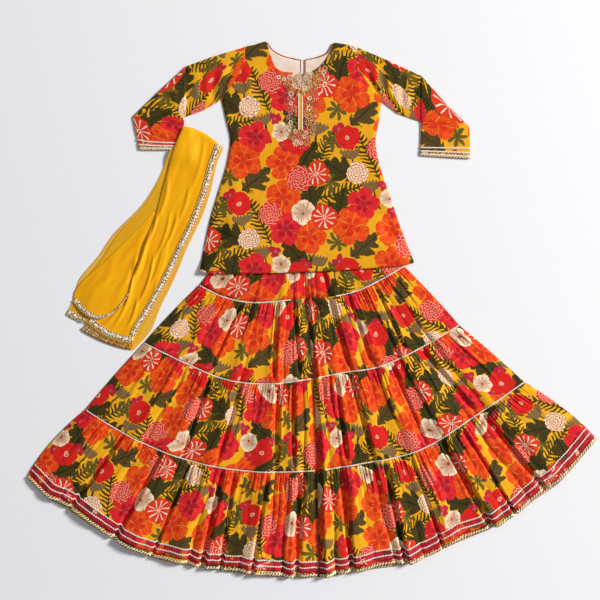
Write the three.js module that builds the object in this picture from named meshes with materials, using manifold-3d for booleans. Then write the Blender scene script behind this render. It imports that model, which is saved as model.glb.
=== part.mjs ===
// A sharara suit laid flat: a short printed tunic, wide gathered trousers in four tiers, and a folded sheer
// scarf. Millimetres, +Z up, the floor at z = 0, the neck towards +Y, seen from above.
import * as THREE from "three";
import { mergeVertices } from "three/addons/utils/BufferGeometryUtils.js";
import Module from "manifold-3d";

const wasm = await Module();
wasm.setup();

// Driving sizes
const WALL = 2; // one layer of printed cloth, with its seam allowances
const SEAM = 0.3; // between two pieces that are sewn edge to edge
const AIR = 0.8; // between two layers that lie on each other
const LINING = 1; // the thin cream cloth inside the neck
const LACE = 1.1; // every metallic trim
const SHEER = 1; // one layer of the scarf
const LACE_WIDTH = 4.5; // the lace that covers a tier seam
const PLACKET_LACE_WIDTH = 3.2;
const PIPING_WIDTH = 3;
const BAND_HEIGHT = 28; // the waistband
const TUNIC_LIFT = 10.9; // how far the trousers hold the tunic's lower part off the floor
const TUCK = 2.4; // the step where each sleeve is tucked at the elbow
const CUFF_LIFT = 7.7; // how far the scarf rides over the cuff
const HEM_SHORT = 4; // how far the front hem stops above the back one

const { lerp, smoothstep } = THREE.MathUtils;
const suit = new THREE.Group();
suit.name = "sharara_suit";

const printed = new THREE.MeshStandardMaterial({ color: 0xd8641f, roughness: 0.85 });
const cream = new THREE.MeshStandardMaterial({ color: 0xe9dccb, roughness: 0.9 });
const silver = new THREE.MeshStandardMaterial({ color: 0xded6cc, roughness: 0.35, metalness: 0.8 });
const gold = new THREE.MeshStandardMaterial({ color: 0xc9a658, roughness: 0.4, metalness: 0.8 });
const crimson = new THREE.MeshStandardMaterial({ color: 0xb01a24, roughness: 0.7 });
const organza = new THREE.MeshStandardMaterial({ color: 0xf2a90f, roughness: 0.6 });

function add(name, geometry, material) {
  const mesh = new THREE.Mesh(geometry, material);
  mesh.name = name;
  suit.add(mesh);
}

// A closed body from its points and quads. The faces are turned round if they point inwards.
function body(points, quads) {
  let volume = 0;
  const index = quads.flatMap(([a, b, c, d]) => [a, b, c, a, c, d]);
  for (let i = 0; i < index.length; i += 3) {
    const [a, b, c] = [0, 1, 2].map((k) => points[index[i + k]]);
    volume += a.dot(new THREE.Vector3().crossVectors(b, c));
  }
  if (volume < 0) index.reverse();
  return new THREE.BufferGeometry().setFromPoints(points).setIndex(index);
}

// A wall of cloth from a grid of underside points, rows from neck to hem, and its thickness at each
// share of the way across.
function wall(rows, thickness) {
  const across = rows[0].length;
  const down = rows.length;
  const thick = typeof thickness === "number" ? () => thickness : thickness;
  const under = rows.flat();
  const over = rows.flatMap((row) =>
    row.map((p, i) => new THREE.Vector3(p.x, p.y, p.z + thick(i / (across - 1)))),
  );
  const n = over.length;
  const quads = [];
  for (let j = 0; j < down - 1; j++)
    for (let i = 0; i < across - 1; i++) {
      const [a, b, c, d] = [0, across, across + 1, 1].map((k) => j * across + i + k);
      quads.push([a, b, c, d], [n + a, n + d, n + c, n + b]);
      if (j === 0) quads.push([a, d, n + d, n + a]);
      if (j === down - 2) quads.push([c, b, n + b, n + c]);
      if (i === 0) quads.push([b, a, n + a, n + b]);
      if (i === across - 2) quads.push([d, c, n + c, n + d]);
    }
  return body([...over, ...under], quads);
}

// A flattened tube of cloth, open at both ends. Each ring lists its upper points across; the lower wall
// lies on the floor, and the hollow between the two walls is as long as the tube.
function flatTube(rings, thickness) {
  const loop = (ring, inset) => {
    const last = ring.length - 1;
    const across = ring.map((p, i) => {
      const side = i === 0 ? inset : i === last ? -inset : 0;
      const way = new THREE.Vector3().subVectors(ring[last], ring[0]).setZ(0).normalize();
      return p.clone().addScaledVector(way, side);
    });
    const upper = across.map((p) => new THREE.Vector3(p.x, p.y, p.z - inset));
    const lower = across.map((p) => new THREE.Vector3(p.x, p.y, inset)).reverse();
    return [...upper, ...lower];
  };
  const size = rings[0].length * 2;
  const outer = rings.flatMap((ring) => loop(ring, 0));
  const inner = rings.flatMap((ring) => loop(ring, thickness));
  const n = outer.length;
  const quads = [];
  for (let j = 0; j < rings.length; j++)
    for (let i = 0; i < size; i++) {
      const a = j * size + i;
      const b = j * size + ((i + 1) % size);
      if (j < rings.length - 1) {
        quads.push([a, b, b + size, a + size]);
        quads.push([n + a, n + a + size, n + b + size, n + b]);
      }
      if (j === 0) quads.push([b, a, n + a, n + b]);
      if (j === rings.length - 1) quads.push([a, b, n + b, n + a]);
    }
  return body([...outer, ...inner], quads);
}

function solid(geometry) {
  const plain = geometry.clone();
  plain.deleteAttribute("normal");
  plain.deleteAttribute("uv");
  const merged = mergeVertices(plain, 1e-4);
  return new wasm.Manifold(
    new wasm.Mesh({
      numProp: 3,
      vertProperties: merged.attributes.position.array,
      triVerts: new Uint32Array(merged.index.array),
    }),
  );
}

// The geometry with an outline cut straight down through it.
function cutThrough(geometry, outline) {
  const shape = new THREE.Shape(outline.map(([x, y]) => new THREE.Vector2(x, y)));
  const prism = new THREE.ExtrudeGeometry(shape, { depth: 100, bevelEnabled: false });
  prism.translate(0, 0, -50);
  const cut = solid(geometry).subtract(solid(prism)).getMesh();
  return new THREE.BufferGeometry()
    .setAttribute("position", new THREE.BufferAttribute(new Float32Array(cut.vertProperties), 3))
    .setIndex(new THREE.BufferAttribute(new Uint32Array(cut.triVerts), 1));
}

// Trousers: two legs of four gathered tiers

// The points that each seam passes through, from its left end to its right end.
const SEAMS = {
  left: [
    { seam: "waist", through: [[-224, 227], [-170, 219], [-127, 216], [-76, 214], [-27, 215]] },
    { seam: "yoke", through: [[-343, 77], [-274, 43], [-197, 25], [-112, 27], [-18, 38]] },
    { seam: "knee", through: [[-511, -99], [-383, -161], [-261, -210], [-130, -224], [5, -207]] },
    { seam: "calf", through: [[-690, -302], [-533, -394], [-364, -459], [-179, -490], [18, -488]] },
    {
      seam: "hem",
      through: [
        [-869, -508],
        [-811, -565],
        [-741, -609],
        [-610, -694],
        [-467, -759],
        [-309, -787],
        [-149, -810],
        [21, -813],
      ],
    },
  ],
  right: [
    { seam: "waist", through: [[-26, 215], [25, 215], [76, 218], [130, 225], [184, 236]] },
    { seam: "yoke", through: [[-17, 38], [68, 43], [145, 62], [215, 96], [282, 135]] },
    { seam: "knee", through: [[6, -207], [103, -188], [200, -173], [307, -127], [450, -45]] },
    { seam: "calf", through: [[19, -488], [241, -450], [348, -416], [444, -357], [648, -218]] },
    {
      seam: "hem",
      through: [
        [22, -813],
        [192, -788],
        [277, -776],
        [354, -750],
        [425, -716],
        [570, -652],
        [700, -564],
        [766, -514],
        [869, -392],
      ],
    },
  ],
};

// One row for each tier: how many gathers it has, how high they stand, how deep the broad folds are, how
// far its outer side bulges, and the shares of its height at which its sections lie.
const TIERS = [
  { tier: "yoke", gathers: 8, high: 3, broad: 2.5, bulge: 0, sections: [0, 0.45, 1] },
  { tier: "upper", gathers: 12, high: 6, broad: 3.5, bulge: 4, sections: [0, 0.2, 0.6, 1] },
  { tier: "middle", gathers: 18, high: 7, broad: 4, bulge: 3, sections: [0, 0.2, 0.6, 1] },
  { tier: "lower", gathers: 24, high: 8, broad: 5, bulge: 18, sections: [0, 0.2, 0.55, 0.865, 0.955, 1] },
];
const BROAD_FOLDS = 5; // broad folds across one leg
const PROFILE = [0, 1, 0.5]; // the heights of a gather's three points: valley, ridge and far side
const BAND_SECTION = 3; // the hem band fills the section after this one
const HEM_WAVE = 2.5; // how far each gather pushes the hem in and out
const SIDE_FADE = 0.05; // the share of a leg's width in which its folds die away at each side
const STEEPEST = 0.2; // the share of a tier's height at which its gathers stand highest

const seamCurve = (row) => new THREE.SplineCurve(row.through.map(([x, y]) => new THREE.Vector2(x, y)));

const CURVES = { left: SEAMS.left.map(seamCurve), right: SEAMS.right.map(seamCurve) };

// A point of a tier: a share u along its seams and a share t down it, in plan.
function inPlan(leg, tier, u, t) {
  const top = CURVES[leg][tier].getPointAt(u);
  const bottom = CURVES[leg][tier + 1].getPointAt(u);
  const [outer, way] = leg === "left" ? [1 - u, -1] : [u, 1];
  const bulge = way * TIERS[tier].bulge * 4 * t * (1 - t) * outer ** 6;
  return top.lerp(bottom, t).add(new THREE.Vector2(bulge, 0));
}

// How far a tier's cloth is held up at a point by the broad folds that run through every tier. It falls
// to nothing at the two sides, where front and back meet.
function broadFold(tier, u, t) {
  const next = TIERS[Math.min(tier + 1, TIERS.length - 1)];
  const depth = lerp(TIERS[tier].broad, next.broad, t);
  const side = smoothstep(Math.min(u, 1 - u), 0, SIDE_FADE);
  return side * depth * (0.5 - 0.5 * Math.cos(2 * Math.PI * BROAD_FOLDS * u));
}

// Gathers start at the seam above, stand highest a little below it, and end at the seam below. The
// hem's own stay open.
function gatherShare(tier, t) {
  const atBottom = tier === TIERS.length - 1 ? 0.8 : 0;
  return t < STEEPEST ? t / STEEPEST : lerp(1, atBottom, (t - STEEPEST) / (1 - STEEPEST));
}

function tierRows(leg, tier) {
  const { gathers, high, sections } = TIERS[tier];
  const columns = gathers * PROFILE.length;
  const isHem = tier === TIERS.length - 1;
  return sections.map((t) =>
    Array.from({ length: columns + 1 }, (_, i) => {
      const u = i / columns;
      const p = inPlan(leg, tier, u, t);
      const uneven = 0.8 + 0.2 * Math.sin(2.4 * i);
      const wave = PROFILE[i % PROFILE.length] * uneven * smoothstep(Math.min(u, 1 - u), 0, SIDE_FADE);
      const z = WALL + AIR + broadFold(tier, u, t) + high * gatherShare(tier, t) * wave;
      const atHem = HEM_SHORT - HEM_WAVE * wave;
      const shift = t === 0 ? -SEAM / 2 : t < 1 ? 0 : isHem ? atHem : SEAM / 2;
      return new THREE.Vector3(p.x, p.y + shift, z);
    }),
  );
}

// A strip that lies on a panel between two shares of one of its sections, made from the panel's own
// points, moved up.
function onSection(rows, section, from, to, up) {
  return [from, to].map((share) =>
    rows[section].map((p, i) => {
      const q = rows[section + 1][i];
      return new THREE.Vector3().lerpVectors(p, q, share).add(new THREE.Vector3(0, 0, up));
    }),
  );
}

function backRows(leg, tier) {
  const columns = 12;
  return [0, 0.5, 1].map((t) =>
    Array.from({ length: columns + 1 }, (_, i) => {
      const p = inPlan(leg, tier, i / columns, t);
      const isHem = t === 1 && tier === TIERS.length - 1;
      return new THREE.Vector3(p.x, p.y + (isHem ? 0 : (t - 0.5) * SEAM), 0);
    }),
  );
}

// The lace over a seam. It skips the middle of the trousers at the yoke, where folds hide the seam.
function seamLaceRows(leg, tier) {
  const columns = 30;
  const hidden = tier === 1 ? 0.28 : 0.03;
  const aboveFolds = 1;
  const [start, end] = leg === "left" ? [0.01, 1 - hidden / 2] : [hidden, 0.99];
  return [1, -1].map((side) =>
    Array.from({ length: columns + 1 }, (_, i) => {
      const u = lerp(start, end, i / columns);
      const p = CURVES[leg][tier].getPointAt(u);
      const along = CURVES[leg][tier].getTangentAt(u);
      const z = 2 * WALL + AIR + broadFold(tier, u, 0) + aboveFolds;
      const out = (side * LACE_WIDTH) / 2;
      return new THREE.Vector3(p.x - along.y * out, p.y + along.x * out, z);
    }),
  );
}

for (const leg of ["left", "right"]) {
  TIERS.forEach(({ tier: name }, tier) => {
    const rows = tierRows(leg, tier);
    add(`${leg}_leg_${name}_tier_front`, wall(rows, WALL), printed);
    add(`${leg}_leg_${name}_tier_back`, wall(backRows(leg, tier), WALL), printed);
    if (tier > 0) add(`${leg}_leg_${name}_seam_lace`, wall(seamLaceRows(leg, tier), LACE), silver);
    if (name !== "lower") return;
    const band = onSection(rows, BAND_SECTION, 0.03, 0.97, WALL + 0.4);
    const edging = onSection(rows, BAND_SECTION + 1, 0.05, 1, WALL + 0.4);
    add(`${leg}_leg_hem_band`, wall(band, LACE), crimson);
    add(`${leg}_leg_hem_edging`, wall(edging, LACE), gold);
  });
}

// The waistband is a flattened loop above both legs, hidden by the tunic.
function waistbandRings() {
  const line = [...CURVES.left[0].getSpacedPoints(6), ...CURVES.right[0].getSpacedPoints(6).slice(1)];
  const top = 2 * WALL + AIR;
  return [BAND_HEIGHT, SEAM].map((up) =>
    line.map((p, i) => new THREE.Vector3(p.x, p.y + up, top + (i % 2 ? 1.5 : 0.3))),
  );
}
add("trouser_waistband", flatTube(waistbandRings(), WALL - 0.1), printed);

// Tunic: back, front, lining and trims

// One row for each section of the body, from shoulder to hem: its two ends, how much of the neckline's
// drop its middle follows, and how many rows of points lead to the next section.
const BODY = [
  { section: "shoulder", left: [-206, 803], right: [141, 803], neck: 1, rows: 2 },
  { section: "armhole", left: [-206, 750], right: [141, 736], neck: 0.72, rows: 2 },
  { section: "underarm", left: [-275, 644], right: [213, 641], neck: 0.3, rows: 2 },
  { section: "bust", left: [-261, 581], right: [206, 581], neck: 0.15, rows: 1 },
  { section: "waist", left: [-248, 517], right: [195, 517], neck: 0.05, rows: 1 },
  { section: "high hip", left: [-257, 455], right: [204, 455], neck: 0, rows: 1 },
  { section: "hip", left: [-286, 356], right: [237, 356], neck: 0, rows: 1 },
  { section: "over the waistband", left: [-303, 300], right: [255, 300], neck: 0, rows: 2 },
  { section: "on the trousers", left: [-317, 245], right: [274, 245], neck: 0, rows: 2 },
  { section: "hem", left: [-342, 119], right: [313, 147], neck: 0, rows: 0 },
];
// The neckline's height over a straight line between the shoulder tips, at shares of the way across.
const FRONT_NECK = [
  { across: 0, rise: 0 },
  { across: 0.1, rise: 7 },
  { across: 0.193, rise: 16 },
  { across: 0.225, rise: -12 },
  { across: 0.25, rise: -43 },
  { across: 0.285, rise: -66 },
  { across: 0.35, rise: -75 },
  { across: 0.43, rise: -77 },
  { across: 0.51, rise: -78 },
  { across: 0.59, rise: -75 },
  { across: 0.65, rise: -63 },
  { across: 0.7, rise: -47 },
  { across: 0.745, rise: -24 },
  { across: 0.775, rise: -5 },
  { across: 0.79, rise: 12 },
  { across: 0.9, rise: 7 },
  { across: 1, rise: 0 },
];
const BACK_NECK = [
  { across: 0, rise: 0 },
  { across: 0.1, rise: 7 },
  { across: 0.193, rise: 16 },
  { across: 0.25, rise: -8 },
  { across: 0.33, rise: -25 },
  { across: 0.42, rise: -34 },
  { across: 0.5, rise: -39 },
  { across: 0.58, rise: -36 },
  { across: 0.66, rise: -29 },
  { across: 0.73, rise: -17 },
  { across: 0.79, rise: 12 },
  { across: 0.9, rise: 7 },
  { across: 1, rise: 0 },
];
const HEM_BOW = 17; // the hem hangs this far below a line between its corners
const HEM_FLATNESS = 0.45; // less than one rounds the corners and flattens the middle
const SIDE_SLOPE = { left: 0.79, right: 0.97 }; // the trousers' side edges, across over down
const TUNIC_AIR = 2 * SEAM + LINING + 0.2; // room for the lining between back and front

// The underside of the whole tunic: flat on the floor, and lifted over the trousers below its waist.
function tunicUnder(x, y) {
  const [leftEnd, rightEnd] = [SEAMS.left[0].through[0], SEAMS.right[0].through.at(-1)];
  const below = Math.max(0, leftEnd[1] - y);
  const outLeft = leftEnd[0] - SIDE_SLOPE.left * below - x;
  const outRight = x - rightEnd[0] - SIDE_SLOPE.right * below;
  const side = 1 - smoothstep(Math.max(outLeft, outRight), 12, 57);
  return TUNIC_LIFT * side * (1 - smoothstep(y, 250, 300));
}

// The grid of a body panel in plan. Its first row follows the shoulders and the neckline, and the
// rows below follow them less and less.
function bodyGrid(neck, inset) {
  const lines = [];
  BODY.forEach((a, k) => {
    const b = BODY[k + 1] ?? a;
    for (let r = 0; r < Math.max(1, a.rows); r++) {
      const t = a.rows ? r / a.rows : 0;
      const at = (key, n) => lerp(a[key][n], b[key][n], t);
      const share = lerp(a.neck, b.neck, t);
      const bow = k === BODY.length - 1 ? HEM_BOW : k === BODY.length - 2 ? HEM_BOW * t * t : 0;
      lines.push(
        neck.map(({ across, rise }) => {
          const side = across === 0 ? inset : across === 1 ? -inset : 0;
          const x = lerp(at("left", 0), at("right", 0), across) + side;
          const line = lerp(at("left", 1), at("right", 1), across);
          const drop = bow * (4 * across * (1 - across)) ** HEM_FLATNESS;
          return new THREE.Vector2(x, line + rise * share - drop);
        }),
      );
    }
  });
  return lines;
}

const raise = (grid, height) =>
  grid.map((row) => row.map((p, i) => new THREE.Vector3(p.x, p.y, height(p, i, row.length))));

const backGrid = bodyGrid(BACK_NECK, SEAM);
const frontGrid = bodyGrid(FRONT_NECK, SEAM);
const backPanel = wall(raise(backGrid, (p) => tunicUnder(p.x, p.y)), WALL);
// The front lies on the back at its two side seams, and on the lining's thickness of air between them.
const frontRows = raise(frontGrid, (p, i, n) => {
  const atSeam = i === 0 || i === n - 1;
  return tunicUnder(p.x, p.y) + WALL + (atSeam ? SEAM : TUNIC_AIR);
});

// The centre back slit is open over the floor. The front neckline has a small notch.
const BACK_SLIT = { x: -26, halfWidth: 6, top: 775, bottom: 655 };
const FRONT_NOTCH = { x: -28, halfWidth: 9, top: 735, bottom: 689 };
function slitOutline({ x, halfWidth, top, bottom }, grow = 0) {
  const w = halfWidth + grow;
  return [
    [x - 0.6 * w, top],
    [x - w, lerp(top, bottom, 0.75)],
    [x, bottom - grow],
    [x + w, lerp(top, bottom, 0.75)],
    [x + 0.6 * w, top],
  ];
}
const notch = [
  [FRONT_NOTCH.x - FRONT_NOTCH.halfWidth, FRONT_NOTCH.top],
  [FRONT_NOTCH.x, FRONT_NOTCH.bottom],
  [FRONT_NOTCH.x + FRONT_NOTCH.halfWidth, FRONT_NOTCH.top],
];
add("tunic_back", cutThrough(backPanel, slitOutline(BACK_SLIT)), printed);
add("tunic_front", cutThrough(wall(frontRows, WALL), notch), printed);

// The lining shows between the back neck and the front neck, and ends under the front panel.
const LINING_BOTTOM = 635;
function liningRows() {
  const columns = BACK_NECK.slice(2, -2).map(({ across }) => across);
  const from = new THREE.Vector2(...BODY[0].left);
  const to = new THREE.Vector2(...BODY[0].right);
  const middle = columns.map((across, i) => {
    const p = from.clone().lerp(to, across);
    const ends = i === 0 || i === columns.length - 1;
    return new THREE.Vector2(p.x, p.y + BACK_NECK[i + 2].rise - PIPING_WIDTH - (ends ? 6 : 2));
  });
  const z = WALL + SEAM;
  return [0, 1].map((t) =>
    middle.map((p) => new THREE.Vector3(p.x, lerp(p.y, LINING_BOTTOM, t), z)),
  );
}
add("tunic_neck_lining", cutThrough(wall(liningRows(), LINING), slitOutline(BACK_SLIT, 1)), cream);

// Piping edges the back neck on each side of the slit.
function pipingRows(first, last) {
  const from = new THREE.Vector2(...BODY[0].left);
  const to = new THREE.Vector2(...BODY[0].right);
  const cells = BACK_NECK.slice(first, last + 1);
  return [0.2, PIPING_WIDTH].map((down) =>
    cells.map(({ across, rise }) => {
      const p = from.clone().lerp(to, across);
      return new THREE.Vector3(p.x, p.y + rise - down, WALL + SEAM);
    }),
  );
}
const middleNeck = BACK_NECK.findIndex(({ across }) => across === 0.5);
const leftPiping = pipingRows(3, middleNeck);
const rightPiping = pipingRows(middleNeck, BACK_NECK.length - 4);
leftPiping.forEach((row) => row.at(-1).setX(BACK_SLIT.x - BACK_SLIT.halfWidth));
rightPiping.forEach((row) => row[0].setX(BACK_SLIT.x + BACK_SLIT.halfWidth));
add("tunic_back_piping_left", wall(leftPiping, LINING), printed);
add("tunic_back_piping_right", wall(rightPiping, LINING), printed);

// Two narrow lines of lace edge the placket.
const PLACKET = { top: 663, bottom: 549, left: -39.5, right: -28.5 };
function strip(ends, width, z) {
  const way = new THREE.Vector2().subVectors(ends[1], ends[0]).normalize();
  return [1, -1].map((side) =>
    ends.map((p) => {
      const out = (side * width) / 2;
      return new THREE.Vector3(p.x - way.y * out, p.y + way.x * out, z);
    }),
  );
}
const frontTop = 2 * WALL + TUNIC_AIR;
for (const side of ["left", "right"]) {
  const ends = [PLACKET.top, PLACKET.bottom].map((y) => new THREE.Vector2(PLACKET[side], y));
  add(`tunic_placket_lace_${side}`, wall(strip(ends, PLACKET_LACE_WIDTH, frontTop + SEAM), LACE), silver);
}

// Sleeves: each is one piece of cloth round the arm, laid flat and tucked at the elbow

// One row for each section from armhole to cuff: the end on the shoulder side, the end on the underarm
// side, and the height of the upper layer.
const SLEEVES = {
  left: [
    { section: "upper arm", outer: [-298, 775], inner: [-331, 609], top: 5.2 },
    { section: "before the tuck", outer: [-385, 743], inner: [-383, 590], top: 5 },
    { section: "on the tuck", outer: [-389, 737], inner: [-387, 588], top: 5 + TUCK },
    { section: "forearm", outer: [-462, 670], inner: [-388, 579], top: 6.6 },
    { section: "corner", outer: [-545, 590], inner: [-389, 563], top: 6 },
    { section: "above the cuff", outer: [-535, 540], inner: [-391, 526], top: 5.6 },
    { section: "cuff", outer: [-523, 488], inner: [-392, 489], top: 5.2 },
  ],
  right: [
    { section: "upper arm", outer: [232, 762], inner: [263, 600], top: 5.2 },
    { section: "before the tuck", outer: [332, 716], inner: [331, 576], top: 5 },
    { section: "on the tuck", outer: [337, 712], inner: [335, 574], top: 5 + TUCK },
    { section: "forearm", outer: [408, 632], inner: [334.5, 566], top: 6.6 },
    { section: "corner", outer: [480, 560], inner: [334, 551], top: 6 },
    { section: "above the cuff", outer: [483, 512], inner: [332.5, 510], top: 5.6 },
    { section: "cuff", outer: [483, 462], inner: [331.5, 472], top: 5.2 },
  ],
};
const SLEEVE_COLUMNS = 4; // the armhole's own corners, from shoulder tip to underarm

// The armhole's points are the body panel's own side points, moved out by the seam gap.
function armhole(side) {
  const sign = side === "left" ? -1 : 1;
  const n = backGrid[0].length - 1;
  return Array.from({ length: SLEEVE_COLUMNS + 1 }, (_, i) => {
    const p = backGrid[i][side === "left" ? 0 : n];
    return new THREE.Vector3(p.x + sign * 2 * SEAM, p.y, 2 * WALL + AIR + 0.1);
  });
}

function sleeveRings(side) {
  const sections = SLEEVES[side].map(({ outer, inner, top }) =>
    Array.from({ length: SLEEVE_COLUMNS + 1 }, (_, i) => {
      const t = i / SLEEVE_COLUMNS;
      const rounding = i === 0 || i === SLEEVE_COLUMNS ? -0.3 : 0;
      const z = Math.max(top + rounding, 2 * WALL + AIR);
      return new THREE.Vector3(lerp(outer[0], inner[0], t), lerp(outer[1], inner[1], t), z);
    }),
  );
  return [armhole(side), ...sections];
}

// Three lines of lace go round each cuff. The lowest lies at the edge.
const CUFF_LACES = [
  { line: "upper", up: 33, bow: 6 },
  { line: "middle", up: 19, bow: 4 },
  { line: "lower", up: 7, bow: 1 },
];
for (const side of ["left", "right"]) {
  add(`${side}_sleeve`, flatTube(sleeveRings(side), WALL), printed);
  const above = SLEEVES[side].at(-2);
  const cuff = SLEEVES[side].at(-1);
  for (const { line, up, bow } of CUFF_LACES) {
    const share = up / (above.outer[1] - cuff.outer[1]);
    const at = (end, n) => lerp(cuff[end][n], above[end][n], share);
    const sag = side === "left" ? bow : 0;
    const rows = [0, 1].map((lower) =>
      Array.from({ length: 7 }, (_, i) => {
        const t = lerp(0.02, 0.98, i / 6);
        const x = lerp(at("outer", 0), at("inner", 0), t);
        const y = lerp(at("outer", 1), at("inner", 1), t) - sag * 4 * t * (1 - t);
        return new THREE.Vector3(x, y - lower * LACE_WIDTH, lerp(cuff.top, above.top, share) + 0.6);
      }),
    );
    add(`${side}_cuff_lace_${line}`, wall(rows, LACE), silver);
  }
}

// Scarf: folded lengthwise, its hidden layers in one rounded body, with the layers that show laid on it

// Each table has a row for each section, from the folded top to the loose ends: its two ends, and how
// far its middle sags below them.
const SCARF_CORE = [
  { left: [-388, 552], right: [-281, 499], sag: -12 },
  { left: [-417, 490], right: [-306, 446], sag: 0 },
  { left: [-441, 389], right: [-326, 376], sag: 0 },
  { left: [-466, 296], right: [-357, 294], sag: 0 },
  { left: [-506, 196], right: [-402, 203], sag: 0 },
  { left: [-538, 104], right: [-452, 99], sag: 0 },
  { left: [-570, 32], right: [-502, 12], sag: 0 },
  { left: [-640, -14], right: [-534, -50], sag: 4 },
  { left: [-710, -59], right: [-552, -122], sag: 9 },
];
const SCARF_MAIN = [
  { left: [-391, 558], right: [-275, 498], sag: -14 },
  { left: [-420, 492], right: [-295, 446], sag: 0 },
  { left: [-450, 389], right: [-314, 374], sag: 0 },
  { left: [-476, 296], right: [-344, 291], sag: 0 },
  { left: [-514, 196], right: [-388, 200], sag: 0 },
  { left: [-547, 104], right: [-439, 97], sag: 0 },
  { left: [-577, 32], right: [-489, 10], sag: 4 },
  { left: [-640, 0], right: [-524, -46], sag: 12 },
  { left: [-690, -26], right: [-545, -93], sag: 16 },
];
const SCARF_WING = [
  { left: [-431, 488], right: [-419, 489], sag: 0 },
  { left: [-469, 398], right: [-443, 390], sag: 0 },
  { left: [-514, 326], right: [-468, 297], sag: 0 },
  { left: [-604, 233], right: [-508, 196], sag: 0 },
  { left: [-651, 165], right: [-540, 104], sag: 0 },
  { left: [-711, 89], right: [-572, 32], sag: 0 },
  { left: [-727, 36], right: [-642, -14], sag: 0 },
  { left: [-748, -12], right: [-702, -36], sag: 2 },
];
const SCARF_FLAP = [
  { left: [-482, 300], right: [-478, 296], sag: 0 },
  { left: [-546, 232], right: [-516, 196], sag: 2 },
  { left: [-632, 148], right: [-541, 125], sag: 8 },
  { left: [-704, 84], right: [-553, 85], sag: 30 },
  { left: [-724, 52], right: [-551, 72], sag: 60 },
  { left: [-726, 36], right: [-547, 66], sag: 74 },
];
const SCARF_MARGIN = [
  { left: [-280, 499], right: [-268, 497], sag: 0 },
  { left: [-305, 446], right: [-289, 444], sag: 0 },
  { left: [-325, 376], right: [-305, 373], sag: 0 },
  { left: [-356, 294], right: [-331, 292], sag: 0 },
  { left: [-401, 203], right: [-375, 199], sag: 0 },
  { left: [-451, 99], right: [-420, 92], sag: 0 },
  { left: [-501, 12], right: [-463, 3], sag: 0 },
  { left: [-533, -50], right: [-486, -56], sag: 0 },
  { left: [-551, -122], right: [-541, -120], sag: 0 },
];
const CORE_EDGE = 1.6; // the core's height at its rounded sides
const CORE_TOP = 4.2; // and along its middle
const ON_CORE = CORE_TOP + AIR;
const LONG_FOLD = 3.2; // how high the scarf's long folds stand
const ON_MAIN = ON_CORE + SHEER + LONG_FOLD;
const MAIN_COLUMNS = [0, 0.11, 0.22, 0.33, 0.44, 0.55, 0.66, 0.77, 0.87, 1]; // the last is the border's
const BORDER_WIDTH = 17;

const evenly = (columns) => Array.from({ length: columns + 1 }, (_, i) => i / columns);

// The scarf's underside: on the floor, and lifted where it crosses the left cuff.
function scarfUnder(x, y) {
  const across = 1 - smoothstep(x, -376, -336);
  return CUFF_LIFT * across * smoothstep(y, 425, 475);
}

// A grid across a table's rows. Height gets the share across, the share down and the column.
function scarfRows(table, columns, height) {
  return table.map(({ left, right, sag }, j) =>
    columns.map((t, i) => {
      const x = lerp(left[0], right[0], t);
      const y = lerp(left[1], right[1], t) - sag * 4 * t * (1 - t);
      return new THREE.Vector3(x, y, scarfUnder(x, y) + height(t, j / (table.length - 1), i));
    }),
  );
}

// A border of the given width on the last section of a layer, made from the layer's own points.
function endBorder(rows, thick) {
  const share = (p, q) => 1 - Math.min(0.95, BORDER_WIDTH / p.distanceTo(q));
  const up = new THREE.Vector3(0, 0, thick + SEAM);
  const [before, last] = rows.slice(-2);
  return [
    last.map((q, i) => before[i].clone().lerp(q, share(before[i], q)).add(up)),
    last.map((q) => q.clone().add(up)),
  ];
}

const coreHeight = (t) => lerp(CORE_EDGE, CORE_TOP, smoothstep(Math.min(t, 1 - t), 0, 0.2));
const coreRows = scarfRows(SCARF_CORE, evenly(8), () => 0);
const mainRows = scarfRows(SCARF_MAIN, MAIN_COLUMNS, (t, s, i) => {
  const fold = i % 2 && i < 8 ? LONG_FOLD * (0.25 + 0.75 * Math.sin(Math.PI * s)) : 0;
  return ON_CORE + fold;
});
const wingRows = scarfRows(SCARF_WING, evenly(4), () => 0);
const flapRows = scarfRows(SCARF_FLAP, evenly(8), (t, s, i) => {
  const toCore = lerp(SHEER + AIR, ON_MAIN, smoothstep(t, 0, 0.22) * smoothstep(s, 0.3, 0.7));
  return toCore + (i % 2 ? 1.8 * s : 0);
});
add("scarf_core", wall(coreRows, coreHeight), organza);
add("scarf_main_fold", wall(mainRows, SHEER), organza);
add("scarf_wing", wall(wingRows, SHEER), organza);
add("scarf_flap", wall(flapRows, SHEER), organza);
add("scarf_margin", wall(scarfRows(SCARF_MARGIN, evenly(2), () => 0), SHEER), organza);
const longBorder = mainRows.slice(0, -1).map((row) =>
  row.slice(-2).map((p) => p.clone().add(new THREE.Vector3(0, 0, SHEER + SEAM))),
);
add("scarf_border_long", wall(longBorder, LACE), gold);
add("scarf_border_main", wall(endBorder(mainRows, SHEER).map((row) => row.slice(0, -1)), LACE), gold);
add("scarf_border_flap", wall(endBorder(flapRows, SHEER), LACE), gold);
add("scarf_border_wing", wall(endBorder(wingRows, SHEER), LACE), gold);

// The suit's origin is the middle of its box, on the floor.
const box = new THREE.Box3().setFromObject(suit);
const middle = box.getCenter(new THREE.Vector3());
suit.position.set(-middle.x, -middle.y, -box.min.z);

export default suit;
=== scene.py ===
# %% [markdown]
# # A sharara suit laid flat
# The real object is three garments: a short printed tunic, wide trousers in four gathered tiers, and a sheer
# scarf folded lengthwise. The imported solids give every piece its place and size. This lesson lays a thin,
# folded cloth on each of them, and makes every surface from a formula on a grid, because cloth is a surface
# with two directions of its own and its print has to follow them.

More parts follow.
